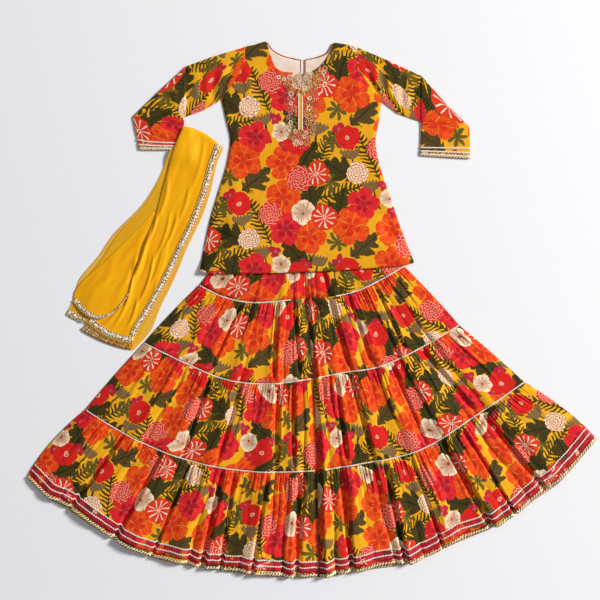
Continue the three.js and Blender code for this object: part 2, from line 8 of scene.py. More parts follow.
import bpy
import numpy as np
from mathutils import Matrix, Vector


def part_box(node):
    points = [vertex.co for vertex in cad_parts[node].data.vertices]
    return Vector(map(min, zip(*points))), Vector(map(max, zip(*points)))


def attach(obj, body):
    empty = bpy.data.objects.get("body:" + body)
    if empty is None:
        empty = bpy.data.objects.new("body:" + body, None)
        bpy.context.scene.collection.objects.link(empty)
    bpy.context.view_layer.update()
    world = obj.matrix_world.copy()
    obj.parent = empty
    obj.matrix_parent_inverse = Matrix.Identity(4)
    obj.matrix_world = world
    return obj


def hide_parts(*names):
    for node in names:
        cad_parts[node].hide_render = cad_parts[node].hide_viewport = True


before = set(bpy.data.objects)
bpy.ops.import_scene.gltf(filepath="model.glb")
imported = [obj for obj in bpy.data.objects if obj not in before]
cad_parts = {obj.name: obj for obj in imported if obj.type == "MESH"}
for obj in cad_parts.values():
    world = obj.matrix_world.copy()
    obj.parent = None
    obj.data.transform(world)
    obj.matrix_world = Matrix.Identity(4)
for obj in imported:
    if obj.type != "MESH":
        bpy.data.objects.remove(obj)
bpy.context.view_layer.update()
MM = 0.001
TABLE_TOP = 489  # the wing's highest point in the tables below, before the suit was centred
SHIFT_Y = round(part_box("scarf_wing")[1][1] / MM - TABLE_TOP, 2)
print("nodes", len(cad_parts), "shift", SHIFT_Y)

# %% [markdown]
# ## From grids to cloth
# A sheet of cloth is a grid of points in space. It needs a thickness, closed edges, and a second pair of
# numbers for each point: where that point lies on the flat cloth before it was gathered. The print reads
# those. Building them as whole arrays is quick and keeps the rows and columns regular, which a sculpted
# mesh would not.


# %% A grid becomes a closed shell
def grid_quads(rows, columns, wrap=False):
    """Each quad joins a point to its neighbours one row down and one column right, anticlockwise from above."""
    index = np.arange(rows * columns).reshape(rows, columns)
    if wrap:
        index = np.concatenate([index, index[:, :1]], axis=1)
    a, b, c, d = index[:-1, :-1], index[1:, :-1], index[1:, 1:], index[:-1, 1:]
    return np.stack([a, b, c, d], axis=-1).reshape(-1, 4), index


def normals(points, wrap=False):
    """The cross product of the step down a column and the step along a row, made one long."""
    down = np.gradient(points, axis=0)
    if wrap:
        along = np.roll(points, -1, axis=1) - np.roll(points, 1, axis=1)
    else:
        along = np.gradient(points, axis=1)
    out = np.cross(down, along)
    return out / np.maximum(np.linalg.norm(out, axis=-1, keepdims=True), 1e-9)


def put_mesh(name, points, faces, cloth=None, smooth=True):
    """Puts points in millimetres and faces into a mesh, with the flat cloth's place of each point in metres."""
    mesh = bpy.data.meshes.new(name)
    place = (points + np.array([0, SHIFT_Y, 0])) * MM
    mesh.from_pydata(place.tolist(), [], np.asarray(faces).tolist())
    mesh.polygons.foreach_set("use_smooth", np.full(len(mesh.polygons), smooth))
    if cloth is not None:
        corner = np.empty(len(mesh.loops), dtype=np.int32)
        mesh.loops.foreach_get("vertex_index", corner)
        layer = mesh.uv_layers.new(name="cloth")
        layer.data.foreach_set("uv", (cloth[corner] * MM).astype(np.float32).ravel())
    mesh.update()
    piece = bpy.data.objects.new(name, mesh)
    bpy.context.scene.collection.objects.link(piece)
    return piece


def shell(name, top, thick, cloth=None, wrap=False):
    """A closed sheet: the grid, its copy moved against the normals by the thickness, and a rim between them."""
    rows, columns = top.shape[:2]
    count = rows * columns
    under = top - thick * normals(top, wrap)
    faces, index = grid_quads(rows, columns, wrap)
    rim = [np.stack([index[0, :-1], index[0, 1:]], -1), np.stack([index[-1, 1:], index[-1, :-1]], -1)]
    if not wrap:
        rim += [np.stack([index[1:, 0], index[:-1, 0]], -1), np.stack([index[:-1, -1], index[1:, -1]], -1)]
    rim = np.concatenate(rim)
    sides = np.stack([rim[:, 0], rim[:, 1], rim[:, 1] + count, rim[:, 0] + count], -1)
    points = np.concatenate([top.reshape(-1, 3), under.reshape(-1, 3)])
    flat = None if cloth is None else np.tile(cloth.reshape(-1, 2), (2, 1))
    return put_mesh(name, points, np.concatenate([faces, faces[:, ::-1] + count, sides]), flat)


def lengths(line):
    """The length run so far at each point of a line."""
    return np.concatenate([[0], np.cumsum(np.linalg.norm(np.diff(line, axis=0), axis=1))])


def spread(*arrays):
    """Numbers that belong together, spread to one shape and put side by side as one point each."""
    return np.stack(np.broadcast_arrays(*arrays), -1)


def nearer_end(x):
    """How far a share is from the nearer of its two ends."""
    return np.minimum(x, 1 - x)


def at_height(plan, z):
    """Points in plan, each at its height."""
    return np.concatenate([plan, np.broadcast_to(z, plan.shape[:-1])[..., None]], -1)


def round_off(distance, radius):
    """How far a rounded edge has risen at a distance inside it: a quarter of a circle, as a share of one."""
    return np.sqrt(np.clip(1 - (1 - np.clip(distance / radius, 0, 1)) ** 2, 0, 1))


def bell(distance, size):
    """The bell curve: one in the middle, and about a third at the size away from it."""
    return np.exp(-((distance / size) ** 2))


def keep(piece, material, slot, *nodes):
    """Every piece of the suit rides on the one body, has a finish, and stands for its solids."""
    piece.data.materials.append(material)
    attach(piece, "root")
    if nodes:
        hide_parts(*nodes)
    return piece


def ease(x, low, high):
    """Zero below low, one above high, and three x squared minus two x cubed between them."""
    t = np.clip((x - low) / (high - low), 0, 1)
    return t * t * (3 - 2 * t)


def blend(a, b, share):
    """A straight mix of two values."""
    return a + (b - a) * share


def through(xs, ys, x):
    """A smooth line through points: cubics whose slopes are the harmonic means of their neighbours, so that
    it never swings past a point."""
    xs, ys = np.asarray(xs, float), np.asarray(ys, float)
    step, rise = np.diff(xs), np.diff(ys)
    slope = rise / step
    middle = np.zeros(len(xs))
    same = slope[:-1] * slope[1:] > 0
    middle[1:-1][same] = 2 * (slope[:-1] * slope[1:])[same] / (slope[:-1] + slope[1:])[same]
    middle[0], middle[-1] = slope[0], slope[-1]
    k = np.clip(np.searchsorted(xs, x) - 1, 0, len(step) - 1)
    t = np.clip((x - xs[k]) / step[k], 0, 1)
    return (
        ys[k] * (2 * t**3 - 3 * t**2 + 1)
        + ys[k + 1] * (3 * t**2 - 2 * t**3)
        + step[k] * (middle[k] * (t**3 - 2 * t**2 + t) + middle[k + 1] * (t**3 - t**2))
    )


# %% [markdown]
# ## Materials
# Fabric looks right when its colours, its pattern's real size and its sheen are right. Each finish below
# starts from what the real cloth is. One small function adds a shader node, so that a material reads as a
# list of steps.

# %% Colours and the one node function
def linear(code, alpha=1.0):
    """An sRGB hex colour as linear light: a power of 2.4 above the dark end, and a straight line below it."""
    values = [int(code[i : i + 2], 16) / 255 for i in (1, 3, 5)]
    return [v / 12.92 if v <= 0.04045 else ((v + 0.055) / 1.055) ** 2.4 for v in values] + [alpha]


MODES = {"Math": "operation", "VectorMath": "operation", "MixRGB": "blend_type"}


def node(tree, kind, mode=None, *values, out=0, **settings):
    """Adds one node, gives it its mode and settings, and links or sets its inputs in order. It returns one
    output, or all of them where out is None."""
    made = tree.nodes.new("ShaderNode" + kind)
    if mode:
        setattr(made, MODES[kind], mode)
    for key, value in settings.items():
        setattr(made, key, value)
    for socket, value in zip(made.inputs, values):
        if isinstance(value, bpy.types.NodeSocket):
            tree.links.new(value, socket)
        elif value is not None:
            socket.default_value = value
    return made.outputs if out is None else made.outputs[out]


def begin(name):
    """A new material with a Principled shader, and its node tree."""
    material = bpy.data.materials.new(name)
    material.use_nodes = True
    return material, material.node_tree


def settle(tree, colour, bump, strength, depth, roughness, metallic=0.0, sheen=0.0, specular=0.5, alpha=1.0):
    """Links the colour and the bump, whose depth is in millimetres, and sets the constants."""
    shader = tree.nodes["Principled BSDF"]
    tree.links.new(colour, shader.inputs["Base Color"])
    shader.inputs["Roughness"].default_value = roughness
    shader.inputs["Metallic"].default_value = metallic
    shader.inputs["Sheen Weight"].default_value = sheen
    shader.inputs["Specular IOR Level"].default_value = specular
    shader.inputs["Alpha"].default_value = alpha
    made = tree.nodes.new("ShaderNodeBump")
    made.inputs["Strength"].default_value = strength
    made.inputs["Distance"].default_value = depth * MM
    tree.links.new(bump, made.inputs["Height"])
    tree.links.new(made.outputs[0], shader.inputs["Normal"])


def on_cloth(tree, across=1000.0, down=None):
    """The place on the flat cloth in metres, times the numbers given: in millimetres when there are none."""
    scale = (across, across if down is None else down, 0.0)
    return node(tree, "VectorMath", "MULTIPLY", node(tree, "UVMap", uv_map="cloth"), scale)


def clouds(tree, place, scale, detail, low, high, most=1.0, **settings):
    """Soft noise: nought where it is under the low value, and the most where it is over the high one."""
    noise = node(tree, "TexNoise", None, place, None, scale, detail, **settings)
    return node(tree, "MapRange", None, noise, low, high, 0.0, most)


FLAT = {"noise_dimensions": "2D"}

# %% Plain finishes: lining and piping
def plain_cloth(name, light, dark, size, roughness=0.85, sheen=0.1, metallic=0.0):
    """A dyed cloth: two near colours mixed by soft noise of the given size in millimetres, and a fine grain."""
    material, tree = begin(name)
    place = on_cloth(tree)
    cloud = clouds(tree, place, 1 / size, 3.0, 0.35, 0.65)
    colour = node(tree, "MixRGB", "MIX", cloud, linear(light), linear(dark))
    grain = node(tree, "TexNoise", None, place, None, 0.6, 2.0)
    settle(tree, colour, grain, 0.4, 0.4, roughness, metallic, sheen)
    return material


LINING = plain_cloth("cream cotton lining", "#F6E3D2", "#EBD0BA", 30)
PIPING = plain_cloth("orange bias piping", "#D9632A", "#A8451F", 12)
print("plain finishes ready")

# %% [markdown]
# ## The printed cotton
# The cloth is a screen-printed cotton: flat inks, one beside another, on a yellow ground. The flowers are the
# ordinary ones of garden chintz. Their layout is this lesson's own: thirty-four spots spread evenly over a
# 330 by 404 mm repeat, and each column starts half a repeat lower than the last, as a mill prints it.
# The print lives in one node group that reads the flat cloth's coordinates, so gathers squeeze the flowers
# exactly as they do on the real cloth. Slanting the coordinates makes the half-drop repeat a plain square
# one, and a Wrap node then gives every flower its own centre.

# %% The repeat, the spots and the slanted coordinates
REPEAT = (330.0, 404.0)
PRINT = bpy.data.node_groups.new("cotton print", "ShaderNodeTree")
PRINT.interface.new_socket("Color", in_out="OUTPUT", socket_type="NodeSocketColor")
PRINT.interface.new_socket("Thread", in_out="OUTPUT", socket_type="NodeSocketFloat")

in_mm = on_cloth(PRINT)


def unevenness(size, amount):
    """Noise of the given size in millimetres, as a push of up to the given amount each way."""
    noise = node(PRINT, "TexNoise", None, in_mm, None, 1.0 / size, 1.0, out=1, **FLAT)
    centred = node(PRINT, "VectorMath", "SUBTRACT", noise, (0.5, 0.5, 0.5))
    return node(PRINT, "VectorMath", "MULTIPLY", centred, (2 * amount, 2 * amount, 0.0))


drawn = node(PRINT, "VectorMath", "ADD", in_mm, unevenness(30.0, 6.5))
drawn = node(PRINT, "VectorMath", "ADD", drawn, unevenness(8.0, 0.7))


def two_dots(vector, first, second, third=0.0):
    """A vector's dot products with two others, as across and up, and a number to carry along."""
    dots = [node(PRINT, "VectorMath", "DOT_PRODUCT", vector, other, out=1) for other in (first, second)]
    return node(PRINT, "CombineXYZ", None, *dots, float(third))


WIDE, HIGH = REPEAT
slanted = two_dots(drawn, (1 / WIDE, 0.0, 0.0), (-0.5 / WIDE, 1 / HIGH, 0.0))


def spot(x, y, size, turn, kind=0.0):
    """Coordinates on one flower, one long at its rim: the slanted place less the spot's, wrapped to half a
    repeat each way, made square again, turned, and divided by the size. The third part tells the kind."""
    centre = (x / WIDE, y / HIGH - 0.5 * x / WIDE, 0.0)
    near = node(PRINT, "VectorMath", "SUBTRACT", slanted, centre)
    near = node(PRINT, "VectorMath", "WRAP", near, (0.5, 0.5, 0.5), (-0.5, -0.5, -0.5))
    c, s = np.cos(np.radians(turn)) / size, np.sin(np.radians(turn)) / size
    across = (c * WIDE + s * HIGH / 2, s * HIGH, 0.0)
    up = (-s * WIDE + c * HIGH / 2, c * HIGH, 0.0)
    return two_dots(near, across, up, kind)


def length(vector):
    """The distance from a spot's centre, without the kind in its third part."""
    return node(PRINT, "VectorMath", "LENGTH", node(PRINT, "VectorMath", "MULTIPLY", vector, (1, 1, 0)), out=1)


def motif(*spots):
    """Across, up, distance, angle and kind at the nearest of the spots that a motif is printed on. Each spot
    has its place and size in millimetres, its turn in degrees, and its kind."""
    best = spot(*spots[0])
    for other in spots[1:]:
        other = spot(*other)
        closer = calc("LESS_THAN", length(other), length(best))
        best = node(PRINT, "Mix", None, closer, *[None] * 3, best, other, out=1, data_type="VECTOR")
    x, y, kind = node(PRINT, "SeparateXYZ", None, best, out=None)
    return x, y, length(best), calc("ARCTAN2", y, x), kind


def calc(mode, *values):
    """One step of arithmetic on the cloth."""
    return node(PRINT, "Math", mode, *values)


def times(a, b, plus=0.0):
    """A product, and a number added to it."""
    return calc("MULTIPLY_ADD", a, b, plus)


def off(value, middle):
    """How far a value is from a middle one, either way."""
    return calc("ABSOLUTE", calc("SUBTRACT", value, middle))


def petals(angle, count, shift=0.0):
    """The absolute cosine of half the angle times the count: one in each petal's middle, none between."""
    return calc("ABSOLUTE", calc("COSINE", times(angle, count / 2, shift)))


def paint(under, over, mask):
    """One ink printed over what is there, where its mask is one."""
    under, over = (linear(colour) if isinstance(colour, str) else colour for colour in (under, over))
    return node(PRINT, "MixRGB", "MIX", mask, under, over)


def either(kind, first, second):
    """The first ink for kind nought and the second for kind one."""
    return paint(first, second, kind)


def below(value, limit):
    """One where the value is under the limit."""
    return calc("LESS_THAN", value, limit)


def over(value, limit):
    """One where the value is over the limit."""
    return calc("GREATER_THAN", value, limit)


def both(a, b):
    """One where both masks are one."""
    return calc("MULTIPLY", a, b)


jagged = times(node(PRINT, "TexNoise", None, in_mm, None, 1 / 4.5, 2.0, **FLAT), 0.5, -0.25)
mottled = node(PRINT, "TexNoise", None, in_mm, None, 1 / 13, 2.0, **FLAT)
ink = paint("#F8B61C", "#F0A512", node(PRINT, "TexNoise", None, in_mm, None, 1 / 60, 1.0))
print("repeat", REPEAT)

# %% [markdown]
# Leaves, ferns, sprigs and thistles are printed first, since the flowers lie over them. A leaf's edge is a
# half-width that falls from the middle to both ends, cut by a wave for its lobes. Leaning the wave upwards
# with distance from the midrib points the lobes at the tip.

# %% Leaves, ferns, sprigs and thistles
x, y, far, angle, kind = motif((291, 446, 82, 26), (203, 329, 78, -73), (159, 459, 74, -26))
side = calc("ABSOLUTE", x)
blade = times(times(y, y), -0.34, 0.36)
leaflet = calc("FRACT", times(times(side, -0.62, y), 6.0))
leaflet = off(leaflet, 0.5)
narrowing = times(calc("DIVIDE", side, blade), -0.16, 0.34)
fern = both(below(side, blade), calc("MAXIMUM", below(leaflet, narrowing), below(side, 0.028)))
ink = paint(ink, "#483C0B", fern)

x, y, far, angle, kind = motif((184, 489, 34, 66), (198, 178, 33, -20), (178, 362, 33, 80))
fan = calc("POWER", petals(angle, 7.0, 0.4), 0.7)
ink = paint(ink, "#6A5C22", below(far, fan))
ink = paint(ink, "#37330F", both(below(far, fan), below(petals(angle, 7.0, 0.4), 0.5)))

x, y, far, angle, kind = motif((240, 442, 38, 8), (137, 116, 37, -14), (305, 345, 36, 12))
side = calc("ABSOLUTE", x)
stem = both(below(calc("ABSOLUTE", times(y, 0.12, x)), 0.07), below(y, 0.0))
ink = paint(ink, "#3A3A10", both(stem, below(far, 1.9)))
tuft = times(calc("PINGPONG", times(x, 7.0), 1.0), 0.3, 0.38)
head = both(below(y, tuft), below(side, times(y, 0.6, 0.62)))
head = both(head, over(y, times(side, 0.55, -0.42)))
ink = paint(ink, "#906E3F", head)
hair = both(head, below(calc("FRACT", times(x, 6.5)), 0.3))
ink = paint(ink, "#6F5233", hair)

x, y, far, angle, kind = motif(
    (115, 326, 63, 16), (101, 431, 60, -34), (76, 140, 58, 48), (208, 286, 58, -12), (206, 398, 56, 64),
    (280, 570, 54, -50, 1),
)  # fmt: skip
side = calc("ABSOLUTE", x)
lean = times(side, -0.75, y)
lobes = calc("ABSOLUTE", calc("SINE", times(lean, 4.9, 0.6)))
width = times(times(y, y), -0.70, 0.74)
edge = times(lobes, 0.62, times(jagged, 0.9, 0.44))
leaf = below(side, times(width, edge))
ink = paint(ink, either(kind, "#493E13", "#604A20"), leaf)
veins = calc("MAXIMUM", below(side, 0.03), below(calc("FRACT", times(lean, 6.5)), 0.2))
ink = paint(ink, either(kind, "#26220E", "#332912"), both(leaf, veins))

# %% [markdown]
# A flower is a disc whose rim goes in and out with the angle. The hibiscus has five broad petals, the poppy
# is nearly round, the anemone is cream with brown stamens, the daisy has ten cream strokes, and the
# chrysanthemum is rings of little arcs, each ring's arcs falling between those of the ring inside it.

# %% Hibiscus, in orange and in crimson
x, y, far, angle, kind = motif(
    (241, 226, 58, 41), (41, 219, 54, 9, 1), (33, 314, 55, 8), (35, 419, 53, 30), (114, 193, 51, 68),
    (276, 295, 51, 5, 1),
)  # fmt: skip
rim = times(calc("POWER", petals(angle, 5.0), 0.45), 0.30, times(jagged, 0.26, 0.70))
flower = below(far, rim)
ink = paint(ink, either(kind, "#ED450E", "#E21F2C"), flower)
rays = both(below(petals(angle, 46.0), 0.42), over(mottled, 0.5))
ink = paint(ink, either(kind, "#F4802A", "#E8442C"), both(flower, rays))
shade = both(flower, below(calc("ADD", far, times(petals(angle, 5.0), -0.3)), 0.22))
ink = paint(ink, either(kind, "#DE2E14", "#B81426"), shade)
gap = both(both(flower, below(times(petals(angle, 5.0), far), 0.03)), over(far, 0.2))
ink = paint(ink, either(kind, "#F0A030", "#E8642A"), gap)
stamens = both(below(petals(angle, 11.0), 0.24), below(off(far, 0.17), 0.09))
ink = paint(ink, either(kind, "#EE7C2C", "#DE5A4A"), stamens)

# %% Small buds and poppies
x, y, far, angle, kind = motif((202, 523, 22, 63), (9, 149, 20, 23), (36, 70, 19, -73), (102, 110, 19, 10))
ink = paint(ink, "#C81F38", below(far, times(petals(angle, 3.0), 0.5, 0.5)))
ink = paint(ink, "#93785A", below(far, 0.2))

x, y, far, angle, kind = motif((76, 78, 40, 46), (230, 497, 37, 12))
poppy = below(far, times(petals(angle, 9.0), 0.08, 0.92))
ink = paint(ink, "#E1231B", poppy)
crease = below(calc("ABSOLUTE", times(calc("SINE", times(angle, 3.0)), 0.09, calc("SUBTRACT", far, 0.66))), 0.025)
ink = paint(ink, "#B5151C", both(crease, below(petals(angle, 4.0), 0.8)))
ring = below(off(far, 0.15), 0.035)
ink = paint(ink, "#F3D9B4", calc("MAXIMUM", ring, below(far, 0.05)))

# %% Cream anemones and ten-stroke daisies
x, y, far, angle, kind = motif((94, 268, 39, 32), (27, 110, 30, 19))
anemone = below(far, times(petals(angle, 6.0), 0.12, times(jagged, 0.3, 0.85)))
ink = paint(ink, "#FFE6C0", anemone)
blush = node(PRINT, "MapRange", None, far, 0.1, 0.9, 0.9, 0.0)
ink = paint(ink, "#D89472", both(anemone, blush))
strokes = both(below(petals(angle, 26.0), 0.36), below(far, times(petals(angle, 9.0, 0.6), 0.38, 0.38)))
ink = paint(ink, "#7B4427", strokes)
ink = paint(ink, "#8C3A2B", below(far, 0.11))
fold = both(both(anemone, below(petals(angle, 6.0), 0.09)), over(far, 0.4))
ink = paint(ink, "#B57B50", fold)

x, y, far, angle, kind = motif((159, 254, 42, 10), (135, 386, 40, 48))
daisy = below(far, times(petals(angle, 10.0), 0.07, 0.92))
ink = paint(ink, "#E2381A", daisy)
stroke = both(below(petals(angle, 10.0), 0.36), below(off(far, 0.5), 0.31))
eye = below(off(far, 0.11), 0.035)
ink = paint(ink, "#F7E2C2", calc("MAXIMUM", stroke, eye))

# %% Chrysanthemums, cream with red lines and crimson with cream ones
x, y, far, angle, kind = motif((259, 388, 34, 25), (322, 465, 37, 47, 1), (82, 372, 39, 47, 1))
mum = below(far, times(petals(angle, 14.0), 0.09, 0.9))
ink = paint(ink, either(kind, "#FFE4BA", "#E0302C"), mum)
rings = times(far, 4.6)
turned = times(calc("FLOOR", rings), 0.785, times(angle, 5.5))
arc = times(calc("ABSOLUTE", calc("COSINE", turned)), -0.55, calc("FRACT", rings))
arc = both(mum, below(off(arc, 0.1), times(kind, -0.05, 0.17)))
ink = paint(ink, either(kind, "#C8432E", "#EDBE98"), arc)
print("print nodes", len(PRINT.nodes))

# %% [markdown]
# Cotton takes ink a little unevenly, and its threads make a fine cross grain. Real threads are 0.3 mm apart,
# too fine for a picture of the whole suit, so the grain is drawn at 2 mm, and only as a slight roughness.

# %% The print's outputs and the cotton itself
soft = node(PRINT, "TexNoise", None, in_mm, None, 1 / 9, 3.0)
worn = node(PRINT, "MapRange", None, soft, 0.25, 0.75, 0.86, 1.03)
ink = node(PRINT, "MixRGB", "MULTIPLY", 1.0, ink, worn)
threads = node(PRINT, "VectorMath", "MULTIPLY", in_mm, (0.5, 0.5, 0.0))
grain = node(PRINT, "TexNoise", None, threads, None, 1.0, 2.0)
out = PRINT.nodes.new("NodeGroupOutput")
PRINT.links.new(ink, out.inputs["Color"])
PRINT.links.new(grain, out.inputs["Thread"])


def printed(tree):
    """The print in a material: its colour, and the height of its threads."""
    group = tree.nodes.new("ShaderNodeGroup")
    group.node_tree = PRINT
    return group.outputs["Color"], group.outputs["Thread"]


COTTON, tree = begin("screen-printed cotton")
settle(tree, *printed(tree), 0.35, 0.5, 0.82, sheen=0.02, specular=0.15)
print("cotton ready")

# %% [markdown]
# ## Laces
# Every trim is a metal-covered braid. A braid is a strip with edges that go in and out evenly, and it is laid
# along a line on the cloth. One function lays a strip: it takes the line's points, a width, a thickness,
# and how deep and how often the edges are scalloped.

# %% Metal braids
def braid_material(name, light, dark, step, roughness, metallic):
    """A metallic braid: bright threads cross it every step of millimetres, with darker gaps between them."""
    material, tree = begin(name)
    place = on_cloth(tree, 1000 / step)
    across, down, _ = node(tree, "SeparateXYZ", None, place, out=None)
    weave = node(tree, "Math", "PINGPONG", node(tree, "Math", "ADD", across, down), 0.5)
    speck = node(tree, "TexNoise", None, place, None, 1.7, 2.0)
    bright = node(tree, "Math", "MULTIPLY_ADD", weave, 1.3, speck)
    bright = node(tree, "MapRange", None, bright, 0.6, 0.95, 0.0, 1.0)
    colour = node(tree, "MixRGB", "MIX", bright, linear(dark), linear(light))
    settle(tree, colour, weave, 0.8, 0.6, roughness, metallic)
    return material


SILVER = braid_material("silver gota braid", "#FFF7EA", "#DFC6AC", 3.2, 0.5, 0.05)
GOLD = braid_material("gold scalloped braid", "#FFEDB4", "#5A3A14", 9.0, 0.4, 0.2)


def fleck_material(name, cells, size, metallic=0.45, roughness=0.38):
    """A border of small cut metal pieces: cells of the given size in millimetres, each in one of the colours,
    with dark thread between them."""
    material, tree = begin(name)
    place = on_cloth(tree, 1000 / size)
    pieces = node(tree, "TexVoronoi", None, place, None, 1.0, out=None, voronoi_dimensions="2D")
    pick = node(tree, "SeparateXYZ", None, pieces["Color"])
    colour = linear(cells[0])
    for number, code in enumerate(cells[1:], 1):
        chosen = node(tree, "Math", "GREATER_THAN", pick, number / len(cells))
        colour = node(tree, "MixRGB", "MIX", chosen, colour, linear(code))
    gap = node(tree, "Math", "GREATER_THAN", pieces["Distance"], 0.56)
    colour = node(tree, "MixRGB", "MIX", gap, colour, linear("#9C7438"))
    lump = node(tree, "Math", "SUBTRACT", 1.0, pieces["Distance"])
    settle(tree, colour, lump, 0.8, 0.8, roughness, metallic)
    return material


ZARI = fleck_material("zari border with cut mirrors", ["#F0D29A", "#BE8C46", "#FAE6CC", "#8E6228", "#E6C080"], 4.2)


UP = np.array([0.0, 0.0, 1.0])


def sideways(line):
    """The level direction square to a line, at each of its points."""
    out = np.cross(np.gradient(line, axis=0), UP)
    return out / np.linalg.norm(out, axis=-1, keepdims=True)


def strip(name, line, width, thick, scallop=0.0, period=6.0, columns=4):
    """A strip of the width along a line: across it, points from edge to edge; its half-width shrinks by the
    scallop's share as the cosine of the run over the period, and its middle stands a little higher."""
    run = lengths(line)
    across = np.linspace(-1, 1, columns + 1)[:, None]
    half = width / 2 * (1 - scallop * (0.5 + 0.5 * np.cos(2 * np.pi * run / period)))
    grid = line + (across * -half)[..., None] * sideways(line)
    grid = grid + (thick * (1.25 - 0.25 * across**2))[..., None] * UP
    return shell(name, grid, thick, spread(run, across * -half))


# %% [markdown]
# ## The trousers
# Each leg is four strips of cloth. Every strip is longer than the one above, gathered, and sewn to its lower
# edge. So the cloth is smooth at a strip's lower edge, and full of small folds just below the seam, which
# run into fewer and broader ones further down. The seams were drawn out in a fan, so these lines are curves
# through a few measured points. A grid along the seams and down each tier follows all of this, and a
# simulation of so many gathers would take longer than the picture and land somewhere else each time.

# %% The seams of the trousers, in millimetres
SEAMS = {
    "left": [
        [(-224, 227), (-170, 219), (-127, 216), (-76, 214), (-27, 215)],
        [(-343, 77), (-274, 43), (-197, 25), (-112, 27), (-18, 38)],
        [(-511, -99), (-383, -161), (-261, -210), (-130, -224), (5, -207)],
        [(-690, -302), (-533, -394), (-364, -459), (-179, -490), (18, -488)],
        [(-869, -508), (-811, -565), (-741, -609), (-610, -694), (-467, -759), (-309, -787), (-149, -810),
         (21, -813)],
    ],
    "right": [
        [(-26, 215), (25, 215), (76, 218), (130, 225), (184, 236)],
        [(-17, 38), (68, 43), (145, 62), (215, 96), (282, 135)],
        [(6, -207), (103, -188), (200, -173), (307, -127), (450, -45)],
        [(19, -488), (241, -450), (348, -416), (444, -357), (648, -218)],
        [(22, -813), (192, -788), (277, -776), (354, -750), (425, -716), (570, -652), (700, -564),
         (766, -514), (869, -392)],
    ],
}  # fmt: skip
TIERS = ["yoke", "upper", "middle", "lower"]
BULGE = [0, 4, 3, 18]


def curve(points, samples=1500):
    """A Catmull-Rom curve: each span is the cubic whose end slopes are half the way between its neighbours."""
    p = np.array(points, float)
    ends = np.concatenate([p[:1], p, p[-1:]])
    at = np.linspace(0, len(p) - 1, samples)
    k = np.minimum(at.astype(int), len(p) - 2)
    w = (at - k)[:, None]
    before, a, b, after = (ends[k + i] for i in range(4))
    va, vb = (b - before) / 2, (after - a) / 2
    line = (2 * a - 2 * b + va + vb) * w**3 + (-3 * a + 3 * b - 2 * va - vb) * w**2 + va * w + a
    return line, lengths(line)


CURVES = {leg: [curve(seam) for seam in seams] for leg, seams in SEAMS.items()}
LENGTH = {leg: [float(run[-1]) for line, run in seams] for leg, seams in CURVES.items()}


def on_seam(leg, number, u):
    """The point a share u along a seam, measured by its length."""
    line, run = CURVES[leg][number]
    return np.stack([np.interp(u * run[-1], run, line[:, i]) for i in (0, 1)], -1)


def tier_plan(leg, tier, u, t):
    """A point of a tier from above: straight down from seam to seam, with the outer side bulging."""
    outer, way = (1 - u, -1) if leg == "left" else (u, 1)
    flat = blend(on_seam(leg, tier, u), on_seam(leg, tier + 1, u), t[..., None])
    flat[..., 0] += way * BULGE[tier] * 4 * t * (1 - t) * outer**6
    return flat


print("seams", LENGTH)

# %% [markdown]
# The folds are rounded ridges with narrow valleys between them, which is the shape that pushed-together
# cloth takes. The broad ones are listed one by one, because they run through all four tiers, and the small
# ones divide them unevenly. A ridge is the sine of its share across, so that it is round on top and sharp
# in the valley, and each has its own height and its own length down the tier.

# %% The folds, listed and divided
BROAD = {
    "left": [0, 0.06, 0.13, 0.19, 0.28, 0.345, 0.44, 0.52, 0.585, 0.68, 0.745, 0.83, 0.885, 0.945, 1],
    "right": [0, 0.055, 0.10, 0.18, 0.24, 0.335, 0.40, 0.47, 0.565, 0.62, 0.71, 0.79, 0.86, 0.93, 1],
}
BROAD_HEIGHT = {
    "left": [0.3, 0.7, 0.4, 0.95, 0.45, 1.0, 0.5, 1.15, 0.8, 0.4, 1.15, 0.6, 1.0, 0.5],
    "right": [1.15, 0.7, 1.0, 0.4, 1.15, 0.55, 1.05, 0.45, 1.1, 0.8, 0.4, 0.95, 0.45, 0.3],
}
# Deep folds of a leg's tier: how far along the seams at its top and its foot, width, depth.
DEEP = {
    ("left", 1): [
        (0.9, 0.925, 6.5, 6.0), (0.745, 0.775, 5.8, 5.5), (0.42, 0.4, 5.8, 3.0),
    ],
    ("left", 2): [
        (0.8, 0.83, 6.5, 5.5), (0.885, 0.905, 5.0, 5.0), (0.42, 0.44, 5.8, 3.5),
        (0.6, 0.585, 5.0, 3.0),
    ],
    ("left", 3): [
        (0.615, 0.63, 7.2, 7.5), (0.665, 0.69, 5.0, 4.5), (0.925, 0.93, 7.2, 7.5),
        (0.36, 0.34, 6.5, 4.5), (0.8, 0.79, 5.8, 5.0), (0.48, 0.47, 4.3, 3.5),
        (0.19, 0.175, 5.8, 3.5),
    ],
    ("right", 0): [
        (0.2, 0.22, 5.0, 3.0),
    ],
    ("right", 1): [
        (0.22, 0.24, 6.5, 5.5), (0.4, 0.38, 4.3, 3.5), (0.66, 0.62, 5.8, 4.0),
    ],
    ("right", 2): [
        (0.14, 0.13, 6.5, 5.0), (0.235, 0.25, 5.8, 6.5), (0.5, 0.49, 5.0, 3.5),
        (0.72, 0.75, 6.5, 6.0),
    ],
    ("right", 3): [
        (0.1, 0.105, 7.2, 6.0), (0.29, 0.275, 7.2, 7.5), (0.41, 0.4, 4.3, 3.5),
        (0.56, 0.565, 7.2, 7.5), (0.66, 0.65, 4.3, 4.0), (0.77, 0.765, 6.5, 6.5),
    ],
}  # fmt: skip
BROAD_DEPTH = [2.0, 4.8, 8.8, 11.0, 12.4]  # at the waist and at the foot of each tier
MIDDLE_DEPTH = [1.2, 3.4, 4.2, 4.8]
SMALL_DEPTH = [0.9, 3.6, 4.2, 4.8]
FULLNESS = [1.08, 1.22, 1.24, 1.24]  # the flat strip's length over that of the seam at its foot
